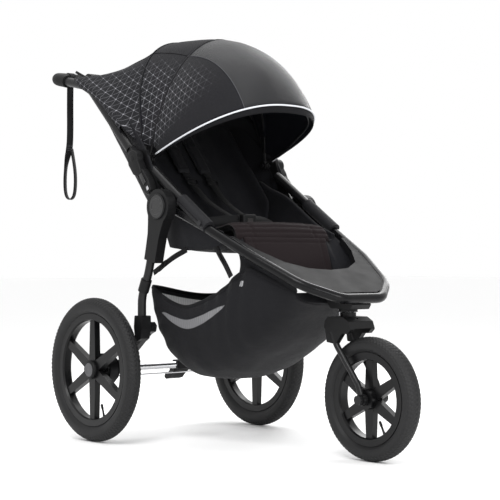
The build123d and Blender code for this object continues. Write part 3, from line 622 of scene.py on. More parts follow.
sp = nurbs_points("strap_route", strap_route, 8)
diag = Vector((0.7071, 0.7071, 0.0))        # across the loop
face = Vector((0.80, -0.60, 0.0))           # the straight part lies face-on
verts, faces = [], []
sec = flat(0.0195, 0.0019)
k = len(sec)
dist = 0.0
n_sp = len(sp)
for i, p in enumerate(sp):
    if i:
        dist += (p - sp[i - 1]).length
    t = (sp[min(i + 1, n_sp - 1)] - sp[max(i - 1, 0)]).normalized()
    # loop: the webbing's width is across the plane of the loop
    wide = Vector((0.7071, -0.7071, 0.0))
    tw = smooth(0.165, 0.255, dist) * (1 - smooth(0.49, 0.515, dist) * 0.0)
    ang = math.radians(lerp(0, 64, tw))
    w = Matrix.Rotation(ang, 3, "Z") @ face
    w = (w - t * w.dot(t)).normalized()
    u = t.cross(w)
    verts += [p + w * a + u * b for a, b in sec]
for i in range(n_sp - 1):
    for j in range(k):
        faces.append((i * k + j, i * k + (j + 1) % k, (i + 1) * k + (j + 1) % k, (i + 1) * k + j))
faces.append(tuple(range(k))[::-1])
faces.append(tuple((n_sp - 1) * k + j for j in range(k)))
strap = obj("wrist_strap_web", verts, faces, ["web"])
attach(strap, "handle_frame")
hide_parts("wrist_strap")
# box stitch where the loop is sewn
st = []
for z in (WZ - 176, WZ - 181, WZ - 186, WZ - 191):
    c = P(TX + 0.5, BY + 0.5, z)
    w = face
    nrm = Vector((-0.6, -0.8, 0))
    st.append(sweep("st", [c - w * 0.0085 + nrm * 0.0024, c + nrm * 0.0027, c + w * 0.0085 + nrm * 0.0024], circle(0.0007, 6), "thread"))
stitch = join("wrist_strap_stitch", st)
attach(stitch, "handle_frame")

# ------------------------------------------------------------------ canopy
PIV = (-135.0, 783.0)
CAN_FRONT = (21.5, 208.0, 362.0, 2.5)
CAN_MID = (80.0, 205.0, 345.0, 2.0)
CAN_REAR = (107.0, 220.0, 364.0, 2.4)
HX = 256.5


def bow_pt(b, t, grow=0.0):
    phi, a, L, n = b
    th = math.pi * (1 - t)
    c, s = math.cos(th), math.sin(th)
    r = (abs(c) ** n + abs(s) ** n) ** (-1 / n)
    x = (a + grow) * c * r
    u = (L + grow) * s * r
    f = math.radians(phi)
    return x, PIV[0] - u * math.cos(f), PIV[1] + u * math.sin(f)


def between(b0, b1, s):
    return tuple(b0[i] * (1 - s) + b1[i] * s for i in range(4))


TS = 0.315      # seam between side and top cloth
T_SIDE = [0.035 + (TS - 0.035) * i / 13 for i in range(14)]
T_TOP = [TS + (1 - 2 * TS) * i / 16 for i in range(1, 17)]
T_ALL = T_SIDE + T_TOP + [1 - t for t in T_SIDE[::-1][1:]]
J0, J1 = 13, 29       # columns of the two seams


def side_uv(g, i0=0, axis=(0, 1)):
    """cloth coordinates in metres, from the surface's own place seen from the side"""
    return [[(p.y * 1.0, p.z * 1.0) for p in row] for row in g]


def canopy_grid(b0, b1, svals, grow, sag, crown=0.0):
    g = []
    for s in svals:
        row = []
        for t in T_ALL:
            b = between(b0, b1, s)
            e = math.sin(math.pi * min(max(t, 0), 1)) ** 0.5
            gg = grow - sag * math.sin(math.pi * s) * e + crown * math.sin(math.pi * s) ** 2 * e
            row.append(P(*bow_pt(b, t, gg)))
        g.append(row)
    return g


def rear_grid(svals, grow=6.0):
    wing, mid = (150.0, 1016.0), (84.0, 992.0)
    g = []
    for s in svals:
        row = []
        for t in T_ALL:
            a = P(*bow_pt(CAN_REAR, t, grow))
            sg = -1 if t < 0.5 else 1
            q = 0.5 - abs(t - 0.5)
            if q <= 0.25:
                k = q / 0.25
                y = lerp(PIV[0] + 22, wing[0], k)
                z = lerp(PIV[1] + 60, wing[1] + 18, k) + 26 * math.sin(math.pi * k)
                x = sg * (HX + 10)
            else:
                k = (q - 0.25) / 0.25
                y = lerp(wing[0], mid[0], k ** 0.6)
                z = lerp(wing[1] + 18, mid[1] + 12, k) + 6 * math.sin(math.pi * k)
                x = sg * (HX + 10) * (1 - k) ** 0.8
            b = P(x, y, z)
            if s <= 1.0:
                p = a.lerp(b, s)
                sag = -0.007 * math.sin(math.pi * s) * min(1.0, q / 0.2)
                p += Vector((0, 0, sag))
                p += Vector((sg * 0.004 * math.sin(math.pi * s) * (1 - min(1.0, q / 0.3)), 0, 0))
            else:
                # hem that turns down over the tube
                w = (s - 1.0) / 0.18
                drop = 24 if q <= 0.25 else lerp(24, 14, min(1, (q - 0.25) / 0.12))
                p = b + Vector((sg * 0.004 * math.sin(math.pi * w) * (1 if q <= 0.27 else 0), 0.003 * w if q > 0.25 else 0, -drop / 1000 * w))
            row.append(p)
        g.append(row)
    return g


def lens(g):
    return [[(p.y, p.z) for p in row] for row in g]


def fade_of(g, y0, z_top, kind):
    out = []
    for i, row in enumerate(g):
        r = []
        for j, p in enumerate(row):
            y, z = p.y * 1000 - OY, p.z * 1000
            side = min(T_ALL[j], 1 - T_ALL[j]) / TS
            k = 1 - smooth(0.62, 0.98, side)
            k *= 0.25 + 0.75 * (1 - smooth(-260, -110 if kind != "front" else -330, 0) * 0)
            if kind == "front":
                k *= 1 - smooth(0.30, 0.72, i / (len(g) - 1)) if i else 1.0
            if kind == "rear":
                k *= 0.85
            r.append(k)
        out.append(r)
    return out


def cover_mat(i, j):
    return 0 if (j < J0 or j >= J1) else 1


def steps(n):
    return [i / n for i in range(n + 1)]


def tension(g, amp, seed, freq=34.0):
    """fine pulls of stretched cloth"""
    nn = grid_normals(g)
    out = []
    for i, row in enumerate(g):
        e = math.sin(math.pi * i / (len(g) - 1)) ** 0.7
        out.append([p + nn[i][j] * (amp * e * noise.noise(Vector((p.x * freq, p.y * freq * 0.6, p.z * freq * 0.4)) + Vector((seed, 0, 0)))) for j, p in enumerate(row)])
    return out


front_g = tension(canopy_grid(CAN_MID, CAN_FRONT, steps(22), 4.6, 0.0, 3.0), 0.0010, 3)
mid_g = tension(canopy_grid(CAN_REAR, CAN_MID, steps(12), 4.6, 6.0), 0.0016, 5)
rear_g = tension(rear_grid(steps(14) + [1.06, 1.12, 1.18], 4.6), 0.0018, 9)

canopy_front = shell("canopy_front_cloth", front_g, 0.0016, ["print", "visor", "lining"], cover_mat, 2, False, fade_of(front_g, 0, 0, "front"), None, lens(front_g))
canopy_mid = shell("canopy_mid_cloth", mid_g, 0.0016, ["print", "canopy_top", "lining"], cover_mat, 2, False, fade_of(mid_g, 0, 0, "mid"), None, lens(mid_g))
canopy_rear = shell("canopy_rear_cloth", rear_g, 0.0016, ["print", "canopy_top", "lining"], cover_mat, 2, True, fade_of(rear_g, 0, 0, "rear"), None, lens(rear_g))


def out_dir(g, flip=False):
    return grid_normals(g, flip)


def seam_on(name, g, path, r, mat, lift, flip=False):
    nn = grid_normals(g, flip)
    pts = [g[i][j] + nn[i][j] * lift for i, j in path]
    return sweep(name, pts, circle(r, 8), mat)


def hang(o, kind):
    if kind == "front":
        tuple(P(*bow_pt(CAN_MID, 0.5, 0)))
        tuple(P(*bow_pt(CAN_FRONT, 0.5, 0)))
        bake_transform(o)
    elif kind == "mid":
        tuple(P(*bow_pt(CAN_REAR, 0.5, 0)))
        tuple(P(*bow_pt(CAN_MID, 0.5, 0)))
        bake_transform(o)
    else:
        tuple(P(*bow_pt(CAN_REAR, 0.5, 0)))
        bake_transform(o)
    return o


def cloth_area(g):
    a = 0.0
    for i in range(len(g) - 1):
        for j in range(len(g[0]) - 1):
            a += (g[i + 1][j] - g[i][j]).cross(g[i][j + 1] - g[i][j]).length
    return a


def cloth_size(g):
    l = sum((a - b).length for a, b in zip(g[len(g) // 2], g[len(g) // 2][1:]))
    w = max(sum((g[i + 1][j] - g[i][j]).length for i in range(len(g) - 1)) for j in range(len(g[0])))
    return w, l


seams = {"front": [], "mid": [], "rear": []}
for tag, g, fl in (("front", front_g, False), ("mid", mid_g, False), ("rear", rear_g, True)):
    n = len(g)
    for j in (J0, J1):
        seams[tag].append(seam_on("s", g, [(i, j) for i in range(n)], 0.0011 if tag == "front" else 0.0009, "thread" if tag == "front" else "thread_dark", 0.0004, fl))
seam_front = join("canopy_front_seams", seams["front"])
seam_mid = join("canopy_mid_seams", seams["mid"])
seam_rear = join("canopy_rear_seams", seams["rear"])
for tag, c, s_, node, g in (("front", canopy_front, seam_front, "canopy_front_panel", front_g), ("mid", canopy_mid, seam_mid, "canopy_mid_panel", mid_g), ("rear", canopy_rear, seam_rear, "canopy_rear_panel", rear_g)):
    hang(c, tag)
    hang(s_, tag)
    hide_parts(node)
    w, l = cloth_size(g)
    a = cloth_area(g)
    if a > w * l:
        l = a / w * 1.002
    print("sheet", tag, round(w, 3), round(l, 3), "area", round(a, 4))

# welts over the mid and rear bows
nn = grid_normals(front_g)
welt_mid = sweep("canopy_mid_welt", [front_g[0][j] + nn[0][j] * 0.0006 for j in range(len(T_ALL))], flat(0.0075, 0.0022), "canopy_top", first=Vector((0, 1, 0)))
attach(welt_mid, "canopy_mid")
nn = grid_normals(mid_g)
welt_rear = sweep("canopy_rear_welt", [mid_g[0][j] + nn[0][j] * 0.0006 for j in range(len(T_ALL))], flat(0.0075, 0.0022), "canopy_top", first=Vector((0, 1, 0)))
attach(welt_rear, "canopy_rear")

# rim: dark band under the front bow with bright piping on its edge
rim_t = [0.03 + 0.94 * i / 72 for i in range(73)]
band_g = []
for s in steps(5):
    row = []
    for t in rim_t:
        b = (CAN_FRONT[0] - 3.1 * s, CAN_FRONT[1], CAN_FRONT[2], CAN_FRONT[3])
        row.append(P(*bow_pt(b, t, 4.6 - 3.5 * s * s)))
    band_g.append(row)
band = shell("canopy_rim_band", band_g, 0.0030, ["binding", "lining"], None, 1)
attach(band, "canopy_front")
pipe = sweep("canopy_piping", [P(*bow_pt(CAN_FRONT, t, 7.0)) for t in rim_t], circle(0.0023, 10), "piping")
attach(pipe, "canopy_front")

# lining sleeves round the bows
for tag, b in (("front", CAN_FRONT), ("mid", CAN_MID), ("rear", CAN_REAR)):
    o = sweep("canopy_%s_sleeve" % tag, [P(*bow_pt(b, 0.08 + 0.84 * i / 48, 0.4)) for i in range(49)], [(a * 1.0, c * 1.35) for a, c in circle(0.0042, 10)], "lining")
    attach(o, "canopy_" + tag)
for k_, b in enumerate((0.24, 0.5, 0.76)):
    # stitched rib along the lining of the visor
    pts = [P(*bow_pt(between(CAN_MID, CAN_FRONT, s), b, 1.2)) for s in steps(12)]
    o = sweep("canopy_lining_rib_%d" % k_, pts, circle(0.0011, 6), "lining")
    hang(o, "front")

# ------------------------------------------------------------------ seat
SH = (-226.0, 552.0)


def BK(x, u, v):
    return P(x, SH[0] + 0.640 * u - 0.768 * v, SH[1] + 0.768 * u + 0.640 * v)


def closed_loft(name, rings, mats, fmat=None, caps=True):
    n, m = len(rings), len(rings[0])
    verts = [p for r in rings for p in r]
    faces, fm = [], []
    for i in range(n - 1):
        for j in range(m):
            faces.append((i * m + j, i * m + (j + 1) % m, (i + 1) * m + (j + 1) % m, (i + 1) * m + j))
            fm.append(fmat(i, j) if fmat else 0)
    if caps:
        for i, rev in ((0, True), (n - 1, False)):
            c = sum(rings[i], Vector()) / m
            idx = len(verts)
            verts.append(c)
            for j in range(m):
                q = (i * m + j, i * m + (j + 1) % m, idx)
                faces.append(q[::-1] if rev else q)
                fm.append(0)
    return obj(name, verts, faces, mats, fm)


def seat_back_ring(u):
    """wing edge, round the back, and back along the padded inside"""
    k = smooth(20, 90, u) * (1 - smooth(505, 556, u))
    w = lerp(166, 189, smooth(30, 120, u)) - 12 * smooth(430, 550, u)
    wing = lerp(-6, 50, smooth(40, 130, u) * (1 - smooth(430, 500, u)))
    deep = -30 - 7 * k
    ring = []
    # outer side, left to right
    ring.append((-w, wing * 0.9))
    ring.append((-w - 1.5, wing * 0.4))
    ring.append((-w + 0, -12))
    ring.append((-w + 8, -28))
    for x in (-0.86, -0.7, -0.5, -0.25, 0, 0.25, 0.5, 0.7, 0.86):
        ring.append((x * (w - 4), deep - 6 * k * (1 - abs(x) ** 2.5) + 2.0 * k * math.sin(u / 26.0) * (1 - abs(x))))
    ring.append((w - 8, -28))
    ring.append((w - 0, -12))
    ring.append((w + 1.5, wing * 0.4))
    ring.append((w, wing * 0.9))
    # inner side, right to left: wing, then the back pad with sewn channels
    ring.append((w - 5, wing + 2))
    ring.append((w - 11, wing * 0.85))
    ring.append((w - 14, wing * 0.4 + 2))
    ring.append((w - 19, 4))
    pad = 4.0 * abs(math.sin(math.pi * (u - 40) / 118.0)) ** 0.5 * k
    for x in (0.84, 0.72, 0.60, 0.57, 0.54, 0.35, 0.15, 0, -0.15, -0.35, -0.54, -0.57, -0.60, -0.72, -0.84):
        h = 2.5 * k * (1 - (abs(x) / 0.57) ** 2) + pad * (1 - (abs(x) / 0.57) ** 4) if abs(x) < 0.56 else 3.5 * k * (1 - ((abs(x) - 0.73) / 0.15) ** 2)
        if 0.55 < abs(x) < 0.59:
            h = -1.0
        ring.append((x * (w - 18), -3.5 + h))
    ring.append((-w + 19, 4))
    ring.append((-w + 14, wing * 0.4 + 2))
    ring.append((-w + 11, wing * 0.85))
    ring.append((-w + 5, wing + 2))
    return [BK(x, u, v) for x, v in ring]


us = [30, 33, 40, 50, 64, 80, 98, 118, 138, 156, 160, 164, 182, 204, 228, 252, 274, 278, 282, 300, 322, 346, 370, 392, 396, 400, 418, 440, 462, 484, 504, 520, 532, 540, 545]
seat_back = closed_loft("seat_back_pad", [seat_back_ring(u) for u in us], ["seat"])
subdiv(seat_back, 1)
for v in seat_back.data.vertices:
    d = noise.noise(v.co * 22.0) * 0.0022 + noise.noise(v.co * 60.0) * 0.0006
    v.co += v.normal * d
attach(seat_back, "seat_back")
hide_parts("seat_back", "seat_back_wings")


def pillow(name, poly_fn, nu, nv, thick_fn, mats, fmat=None):
    """crowned closed pad: poly_fn(a, b) gives the middle surface point and its normal, a and b from 0 to 1"""
    top, bot = [], []
    for i in range(nu + 1):
        rt, rb = [], []
        for j in range(nv + 1):
            a, b = i / nu, j / nv
            p, n = poly_fn(a, b)
            h1, h2 = thick_fn(a, b)
            rt.append(p + n * h1)
            rb.append(p - n * h2)
        top.append(rt)
        bot.append(rb)
    m = nv + 1
    K = (nu + 1) * m
    verts = [p for r in top for p in r] + [p for r in bot for p in r]
    faces, fm = [], []
    for i in range(nu):
        for j in range(nv):
            a, b, c, d = i * m + j, i * m + j + 1, (i + 1) * m + j + 1, (i + 1) * m + j
            faces.append((a, b, c, d))
            fm.append(fmat(i / nu, j / nv) if fmat else 0)
            faces.append((a + K, d + K, c + K, b + K))
            fm.append(0)
    for i in range(nu):
        for j, f in ((0, True), (nv, False)):
            a, d = i * m + j, (i + 1) * m + j
            q = (a, d, d + K, a + K)
            faces.append(q[::-1] if f else q)
            fm.append(0)
    for j in range(nv):
        for i, f in ((0, False), (nu, True)):
            a, b = i * m + j, i * m + j + 1
            q = (a, b, b + K, a + K)
            faces.append(q[::-1] if f else q)
            fm.append(0)
    return obj(name, verts, faces, mats, fm)


def edge_round(a, b, ra=0.06, rb=0.06):
    ea = min(a, 1 - a) / ra
    eb = min(b, 1 - b) / rb
    e = min(1.0, ea), min(1.0, eb)
    f = lambda q: math.sqrt(max(0.0, 1 - (1 - q) ** 2))
    return f(e[0]) * f(e[1])


# seat cushion: profile from the hinge to the front roll
base_prof = [(-222, 560), (-244, 568), (-300, 577), (-350, 586), (-385, 592), (-415, 597), (-436, 590), (-449, 574), (-452, 556)]
base_curve = catmull([P(0, *q) for q in base_prof], 8)
LB = [0.0]
for a_, b_ in zip(base_curve, base_curve[1:]):
    LB.append(LB[-1] + (b_ - a_).length)


def on_curve(curve, L, k):
    d = k * L[-1]
    for i in range(len(L) - 1):
        if L[i + 1] >= d:
            f = (d - L[i]) / max(1e-9, L[i + 1] - L[i])
            p = curve[i].lerp(curve[i + 1], f)
            t = (curve[i + 1] - curve[i]).normalized()
            return p, t
    return curve[-1].copy(), (curve[-1] - curve[-2]).normalized()


def base_fn(a, b):
    p, t = on_curve(base_curve, LB, a)
    w = 168 - 6 * math.sin(math.pi * a)
    x = lerp(-w, w, b)
    n = Vector((1, 0, 0)).cross(t).normalized()
    if n.z < 0 and a < 0.7:
        n = -n
    n = Vector((0, -t.z, t.y))
    if n.dot(Vector((0, -0.3, 1))) < 0:
        n = -n
    return Vector((x / 1000, p.y, p.z)), n


def base_thick(a, b):
    e = edge_round(a, b, 0.05, 0.05)
    crown = 6.0 * math.sin(math.pi * b) ** 0.6
    q = 0.0
    for line in (0.16, 0.36, 0.56, 0.74, 0.80, 0.86, 0.92):
        q += 4.2 * math.exp(-((a - line) / 0.010) ** 2)
    for line in (0.17, 0.83):
        q += 3.0 * math.exp(-((b - line) / 0.010) ** 2)
    return (crown + 4 - q) * e / 1000 + 0.001, (16 + 6 * math.sin(math.pi * b)) * e / 1000


seat_base = pillow("seat_base_pad", base_fn, 96, 64, base_thick, ["seat", "seat_plum"], lambda a, b: 1)
for v in seat_base.data.vertices:
    v.co += Vector((0, 0, 1)) * noise.noise(v.co * 18) * 0.0012
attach(seat_base, "front_frame")
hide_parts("seat_base")

# seat tray under the cushion: a dark sling that bows down
sling = []
for i in range(17):
    a = i / 16
    row = []
    for j in range(25):
        b = j / 24
        x = lerp(-186, 186, b)
        y = lerp(-214, -446, a)
        z = 534 - 8 * math.sin(math.pi * b) + 14 * a * a - 4 * math.sin(math.pi * a) + 14 * (abs(b - 0.5) * 2) ** 6
        row.append(P(x, y, z))
    sling.append(row)
sl = shell("seat_sling", sling, 0.0022, ["seat"], None, 0, True)
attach(sl, "front_frame")

# calf panel
calf_prof = [(-456, 566), (-464, 548), (-474, 526), (-485, 500), (-495, 470), (-505, 441)]
calf_curve = catmull([P(0, *q) for q in calf_prof], 6)
LC = [0.0]
for a_, b_ in zip(calf_curve, calf_curve[1:]):
    LC.append(LC[-1] + (b_ - a_).length)


def calf_fn(a, b):
    p, t = on_curve(calf_curve, LC, a)
    w = lerp(150, 138, a)
    x = lerp(-w, w, b)
    n = Vector((0, t.z, -t.y))
    return Vector((x / 1000, p.y, p.z)), n


def calf_thick(a, b):
    e = edge_round(a, b, 0.05, 0.03)
    q = 0.0
    for line in (0.09, 0.91):
        q += 2.8 * math.exp(-((b - line) / 0.008) ** 2)
    q += 2.4 * math.exp(-((a - 0.12) / 0.012) ** 2)
    return (5.5 - q + 1.5 * math.sin(math.pi * b)) * e / 1000, 4.0 * e / 1000


calf = pillow("calf_panel_pad", calf_fn, 40, 72, calf_thick, ["seat_plum"])
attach(calf, "front_frame")
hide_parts("calf_panel")

# cloth gussets from the calf panel out to the front loop
loop_path = catmull([P(*q) for q in ((-228, -330, 615), (-228, -408, 588), (-213, -490, 546), (-198, -560, 510), (-176, -618, 478))], 8)
for sg, tag in ((-1, "left"), (1, "right")):
    g = []
    for i in range(15):
        a = i / 14
        y = lerp(-404, -560, a)
        out = min(loop_path, key=lambda p: abs(p.y - (y + OY) / 1000))
        inn, _ = on_curve(calf_curve, LC, min(1, a * 1.0))
        row = []
        for j in range(11):
            b = j / 10
            pin = Vector((-(lerp(150, 138, a)) / 1000, inn.y, inn.z))
            pout = Vector((out.x + 0.0155, out.y, out.z - 0.004))
            p = pin.lerp(pout, b)
            p.z -= 0.010 * math.sin(math.pi * b)
            p.y -= 0.004 * math.sin(3 * math.pi * b) * math.sin(math.pi * a)
            p.x *= -sg
            row.append(p)
        g.append(row)
    o = shell("calf_gusset_" + tag, g, 0.0022, ["seat"], None, 0, sg < 0)
    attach(o, "front_frame")

# seat sides: soft walls, pinned at the seat and following the seat back
side_poly = [(-236, 560), (-228, 620), (-205, 676), (-176, 712), (-192, 716), (-240, 688), (-300, 646), (-350, 612), (-404, 574), (-424, 556), (-434, 540), (-380, 534), (-300, 532), (-244, 536)]
for sg, tag in ((-1, "left"), (1, "right")):
    g = []
    lower = catmull([P(sg * 196, *q) for q in ((-206, 540), (-236, 536), (-290, 531), (-350, 532), (-400, 536), (-436, 548))], 6)
    upper = catmull([P(sg * 206, *q) for q in ((-128, 738), (-172, 716), (-240, 690), (-310, 646), (-370, 606), (-438, 578))], 6)
    n = len(lower)
    for i in range(n):
        row = []
        for j in range(13):
            b = j / 12
            p = lower[i].lerp(upper[i], b)
            bulge = 0.006 * math.sin(math.pi * b) * (0.5 + math.sin(math.pi * i / (n - 1)))
            p.x += sg * bulge
            p.x += sg * 0.002 * noise.noise(Vector((p.y * 30, p.z * 30, sg)))
            row.append(p)
        g.append(row)
    o = shell("seat_side_" + tag, g, 0.009, ["seat"], None, 0, sg > 0)
    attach(o, "front_frame")
    if tag == "left":
        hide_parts("seat_sides")

# upper side walls: from the seat back's wings to the handle tubes
for sg, tag in ((-1, "left"), (1, "right")):
    g = []
    rear_edge = catmull([BK(sg * 183, u, -24) for u in (40, 150, 270, 390, 500)], 6)
    front_edge = catmull([P(sg * 236, *q) for q in ((-206, 706), (-172, 780), (-112, 856), (-34, 934), (58, 1004))], 6)
    n = len(rear_edge)
    for i in range(n):
        row = []
        for j in range(13):
            b = j / 12
            p = rear_edge[i].lerp(front_edge[i], b)
            p.x += sg * 0.011 * math.sin(math.pi * b)
            p.x += sg * 0.0025 * noise.noise(Vector((p.y * 24, p.z * 24, 3 + sg)))
            row.append(p)
        g.append(row)
    o = shell("seat_wall_" + tag, g, 0.004, ["seat"], None, 0, sg > 0)
    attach(o, "seat_back")
    # oval stitched pocket
    pts = []
    for i in range(41):
        a = 2 * math.pi * i / 40
        bi = 0.5 + 0.30 * math.cos(a)
        bj = 0.5 + 0.33 * math.sin(a)
        ii, jj = bi * (n - 1), bj * 12
        i0, j0 = int(ii), int(jj)
        p = g[i0][j0].lerp(g[min(i0 + 1, n - 1)][j0], ii - i0).lerp(g[i0][min(j0 + 1, 12)].lerp(g[min(i0 + 1, n - 1)][min(j0 + 1, 12)], ii - i0), jj - j0)
        pts.append(p + Vector((-sg * 0.0048, 0, 0)))
    oo = sweep("seat_pocket_seam_" + tag, pts, circle(0.0009, 6), "thread_dark")
    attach(oo, "seat_back")

# shoulder pads
for sg, tag in ((-1, "left"), (1, "right")):
    def pad_fn(a, b, sg=sg):
        u = lerp(252, 468, a)
        x = sg * lerp(18, 59, b)
        return BK(x, u, 13.0), Vector((0, -0.768, 0.640))

    def pad_thick(a, b):
        e = edge_round(a, b, 0.09, 0.22)
        q = 2.0 * math.exp(-((a - 0.5) / 0.02) ** 2)
        return (7.5 - q) * e / 1000, 7.5 * e / 1000
    o = pillow("shoulder_pad_" + tag, pad_fn, 40, 14, pad_thick, ["sleeve"])
    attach(o, "seat_back")
    if tag == "left":
        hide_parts("shoulder_pads")
    # harness webbing down from the pad, to the buckle, and the waist belt
    web = catmull([BK(sg * 38.5, 256, 14), BK(sg * 37, 200, 20), BK(sg * 32, 120, 36), P(sg * 24, -286, 618), P(sg * 18, -296, 626)], 10)
    o = sweep("harness_web_" + tag, web, flat(0.025, 0.0016), "web", first=Vector((1, 0, 0)))
    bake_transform(o)
    waist = catmull([P(sg * 172, -236, 594), P(sg * 128, -262, 606), P(sg * 80, -284, 614), P(sg * 26, -300, 618)], 10)
    o = sweep("waist_web_" + tag, waist, flat(0.025, 0.0016), "web", first=Vector((0, 0.3, 1)))
    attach(o, "front_frame")
    # strap adjusters: open frames
    c = BK(sg * 37.5, 214, 20.5)
    ring = []
    for q in ((-15, -9), (15, -9), (15, 9), (-15, 9)):
        ring.append(c + Vector((q[0] / 1000, 0.640 * q[1] / 1000, 0.768 * q[1] / 1000)))
    o = sweep("harness_slide_" + tag, catmull(ring, 5, True), circle(0.0022, 8), "plastic", closed=True, first=Vector((0, -0.768, 0.640)))
    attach(o, "seat_back")

# ------------------------------------------------------------------ basket
SECS = [(-141, 432, 318, 205, 198), (-154, 424, 252, 206, 196), (-178, 412, 206, 206, 190), (-225, 404, 180, 206, 180), (-300, 401, 180, 206, 170), (-370, 404, 204, 206, 166),
        (-430, 418, 238, 205, 164), (-478, 450, 266, 202, 160), (-524, 486, 300, 192, 150), (-580, 458, 350, 166, 128), (-640, 420, 396, 124, 92)]


def sec_at(y):
    for a, b in zip(SECS, SECS[1:]):
        if b[0] <= y <= a[0]:
            k = (y - a[0]) / (b[0] - a[0])
            return tuple(lerp(a[i], b[i], k) for i in range(1, 5))
    return SECS[-1][1:] if y < SECS[-1][0] else SECS[0][1:]


def hermite_sec(y):
    s0 = [sec_at(y + d) for d in (14, 7, 0, -7, -14)]
    w = (1, 2, 3, 2, 1)
    return tuple(sum(w[i] * s0[i][k] for i in range(5)) / 9 for k in range(4))


NR, NA = 64, 72
ys = []
for i in range(NR):
    k = i / (NR - 1)
    ys.append(lerp(-141, -640, k ** 1.15))
bg, bw, buv = [], [], []
for i, y in enumerate(ys):
    zr, zf, wr, wf = sec_at(y) if y > -200 else hermite_sec(y)
    zr -= 23 * math.exp(-((y + 285) / 82.0) ** 2) * smooth(-141, -190, y)
    row, wrow, urow = [], [], []
    arc = 0.0
    prev = None
    pts = []
    for j in range(NA + 1):
        a = math.pi * j / NA
        c, s = -math.cos(a), math.sin(a)
        e = abs(c) ** 0.62 * (1 if c > 0 else -1)
        x = e * (wr * (1 - s * 0.55) + wf * s * 0.55)
        z = zr - (zr - zf) * (abs(s) ** 0.62)
        # soft bottom and gathers
        pl = noise.noise(Vector((x * 0.013, y * 0.013, z * 0.02)))
        x += 2.6 * pl * s
        z += 2.2 * noise.noise(Vector((x * 0.02, y * 0.018, 7))) * s
        rad = math.exp(-((y + 470) / 70.0) ** 2) * (1 - s) ** 0.5
        x += (1 if c > 0 else -1) * 3.4 * rad * math.sin(y * 0.16 + z * 0.05)
        gath = math.exp(-((y + 165) / 46.0) ** 2)
        x += (1 if c > 0 else -1) * 2.2 * gath * math.sin(z * 0.11 + y * 0.05)
        pts.append((x, y, z))
    total = []
    for j in range(NA + 1):
        if prev is not None:
            arc += math.dist(pts[j], prev)
        prev = pts[j]
        total.append(arc)
    for j in range(NA + 1):
        x, yy, z = pts[j]
        depth = min(total[j], total[-1] - total[j])          # mm below the rim
        # crescent mesh window under the hem
        c0 = 33.0
        mid = 1 - ((yy + 305) / 160.0) ** 2
        lowb = c0 + 25.0 * max(0, mid) ** 0.8
        wval = min(depth - c0, lowb - depth, 30 * mid)
        # small window at the front
        w2 = min(9 - abs(depth - 28), 8 - abs(yy + 506) * 0.9, 7)
        wrow.append(max(wval, w2) / 1000.0 if yy > -640 else -0.01)
        row.append(P(x, yy, z))
        urow.append(((yy + 0.25 * z) / 1000.0, z / 1000.0))
    bg.append(row)
    bw.append(wrow)
    buv.append(urow)
basket_shell = shell("basket_cloth", bg, 0.0020, ["window", "basket"], None, 0, False, None, bw, buv)
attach(basket_shell, "front_frame")
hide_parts(*[q for q in N if q.startswith("basket")])
# rear wall: mesh below a hem, cloth at the bottom
rear_ring = bg[0]
rw, rwin, ruv = [], [], []
for i in range(19):
    k = i / 18
    row, wr_, ur = [], [], []
    for j in range(NA // 2 + 1):
        L, R_ = rear_ring[j], rear_ring[NA - j]
        row.append(None)
    rw.append(row)
m_ = 28
rw, rwin, ruv = [], [], []
for j in range(NA // 2 + 1):
    L, R_ = rear_ring[j], rear_ring[NA - j]
    row, wr_, ur = [], [], []
    for i in range(m_ + 1):
        b = i / m_
        p = L.lerp(R_, b)
        p.y += 0.004 * math.sin(math.pi * b)
        top = rear_ring[0].z
        sag = 0.027 * math.sin(math.pi * b) ** 1.3
        p.z -= sag * max(0.0, 1 - (top - p.z) / 0.12)
        depth = (top - sag - p.z) * 1000
        row.append(p)
        wv = min(depth - 14, 70 - depth, (0.185 - abs(p.x)) * 1000)
        wr_.append(wv / 1000.0)
        ur.append((p.x, p.z))
    rw.append(row)
    rwin.append(wr_)
    ruv.append(ur)
rear_wall = shell("basket_rear_wall", rw, 0.0018, ["window", "basket"], None, 0, False, None, rwin, ruv)
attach(rear_wall, "front_frame")
# front end of the tub, and the cloth that joins its rim to the front loop
fr = bg[-1]
fw = []
for j in range(NA // 2 + 1):
    L, R_ = fr[j], fr[NA - j]
    row = []
    for i in range(17):
        b = i / 16
        p = L.lerp(R_, b)
        p.y -= 0.010 * math.sin(math.pi * b) * (j / (NA / 2)) ** 0.5
        row.append(p)
    fw.append(row)
front_wall = shell("basket_front_wall", fw, 0.0018, ["basket"], None, 0, True)
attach(front_wall, "front_frame")
loop_low = catmull([P(*q) for q in ((-222, -470, 548), (-205, -520, 524), (-192, -570, 498), (-172, -620, 470), (-152, -660, 446))], 8)
for sg, tag in ((-1, "left"), (1, "right")):
    g = []
    for i in range(21):
        a = i / 20
        y = lerp(-500, -640, a)
        out = min(loop_low, key=lambda p: abs(p.y - (y - 12 * a + OY) / 1000))
        zr, zf, wr, wf = hermite_sec(y)
        low = P(-wr, y, zr)
        top = Vector((out.x + 0.010, out.y, out.z - 0.006))
        row = []
        for j in range(9):
            b = j / 8
            p = low.lerp(top, b)
            p.x += 0.006 * math.sin(math.pi * b)
            p.z += 0.003 * math.sin(3 * math.pi * a) * math.sin(math.pi * b)
            p.x *= -sg
            row.append(p)
        g.append(row)
    o = shell("basket_flap_" + tag, g, 0.0018, ["basket"], None, 0, sg < 0)
    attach(o, "front_frame")
# hem round the rim
rim_pts = [row[0] for row in bg][::-1]
back_pts = [rw[0][i] for i in range(m_ + 1)]
right_pts = [row[NA] for row in bg]
hem = rim_pts + back_pts[1:-1] + right_pts
hem_o = sweep("basket_hem", hem, flat(0.013, 0.0042), "binding", first=Vector((0, 0, 1)))
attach(hem_o, "front_frame")
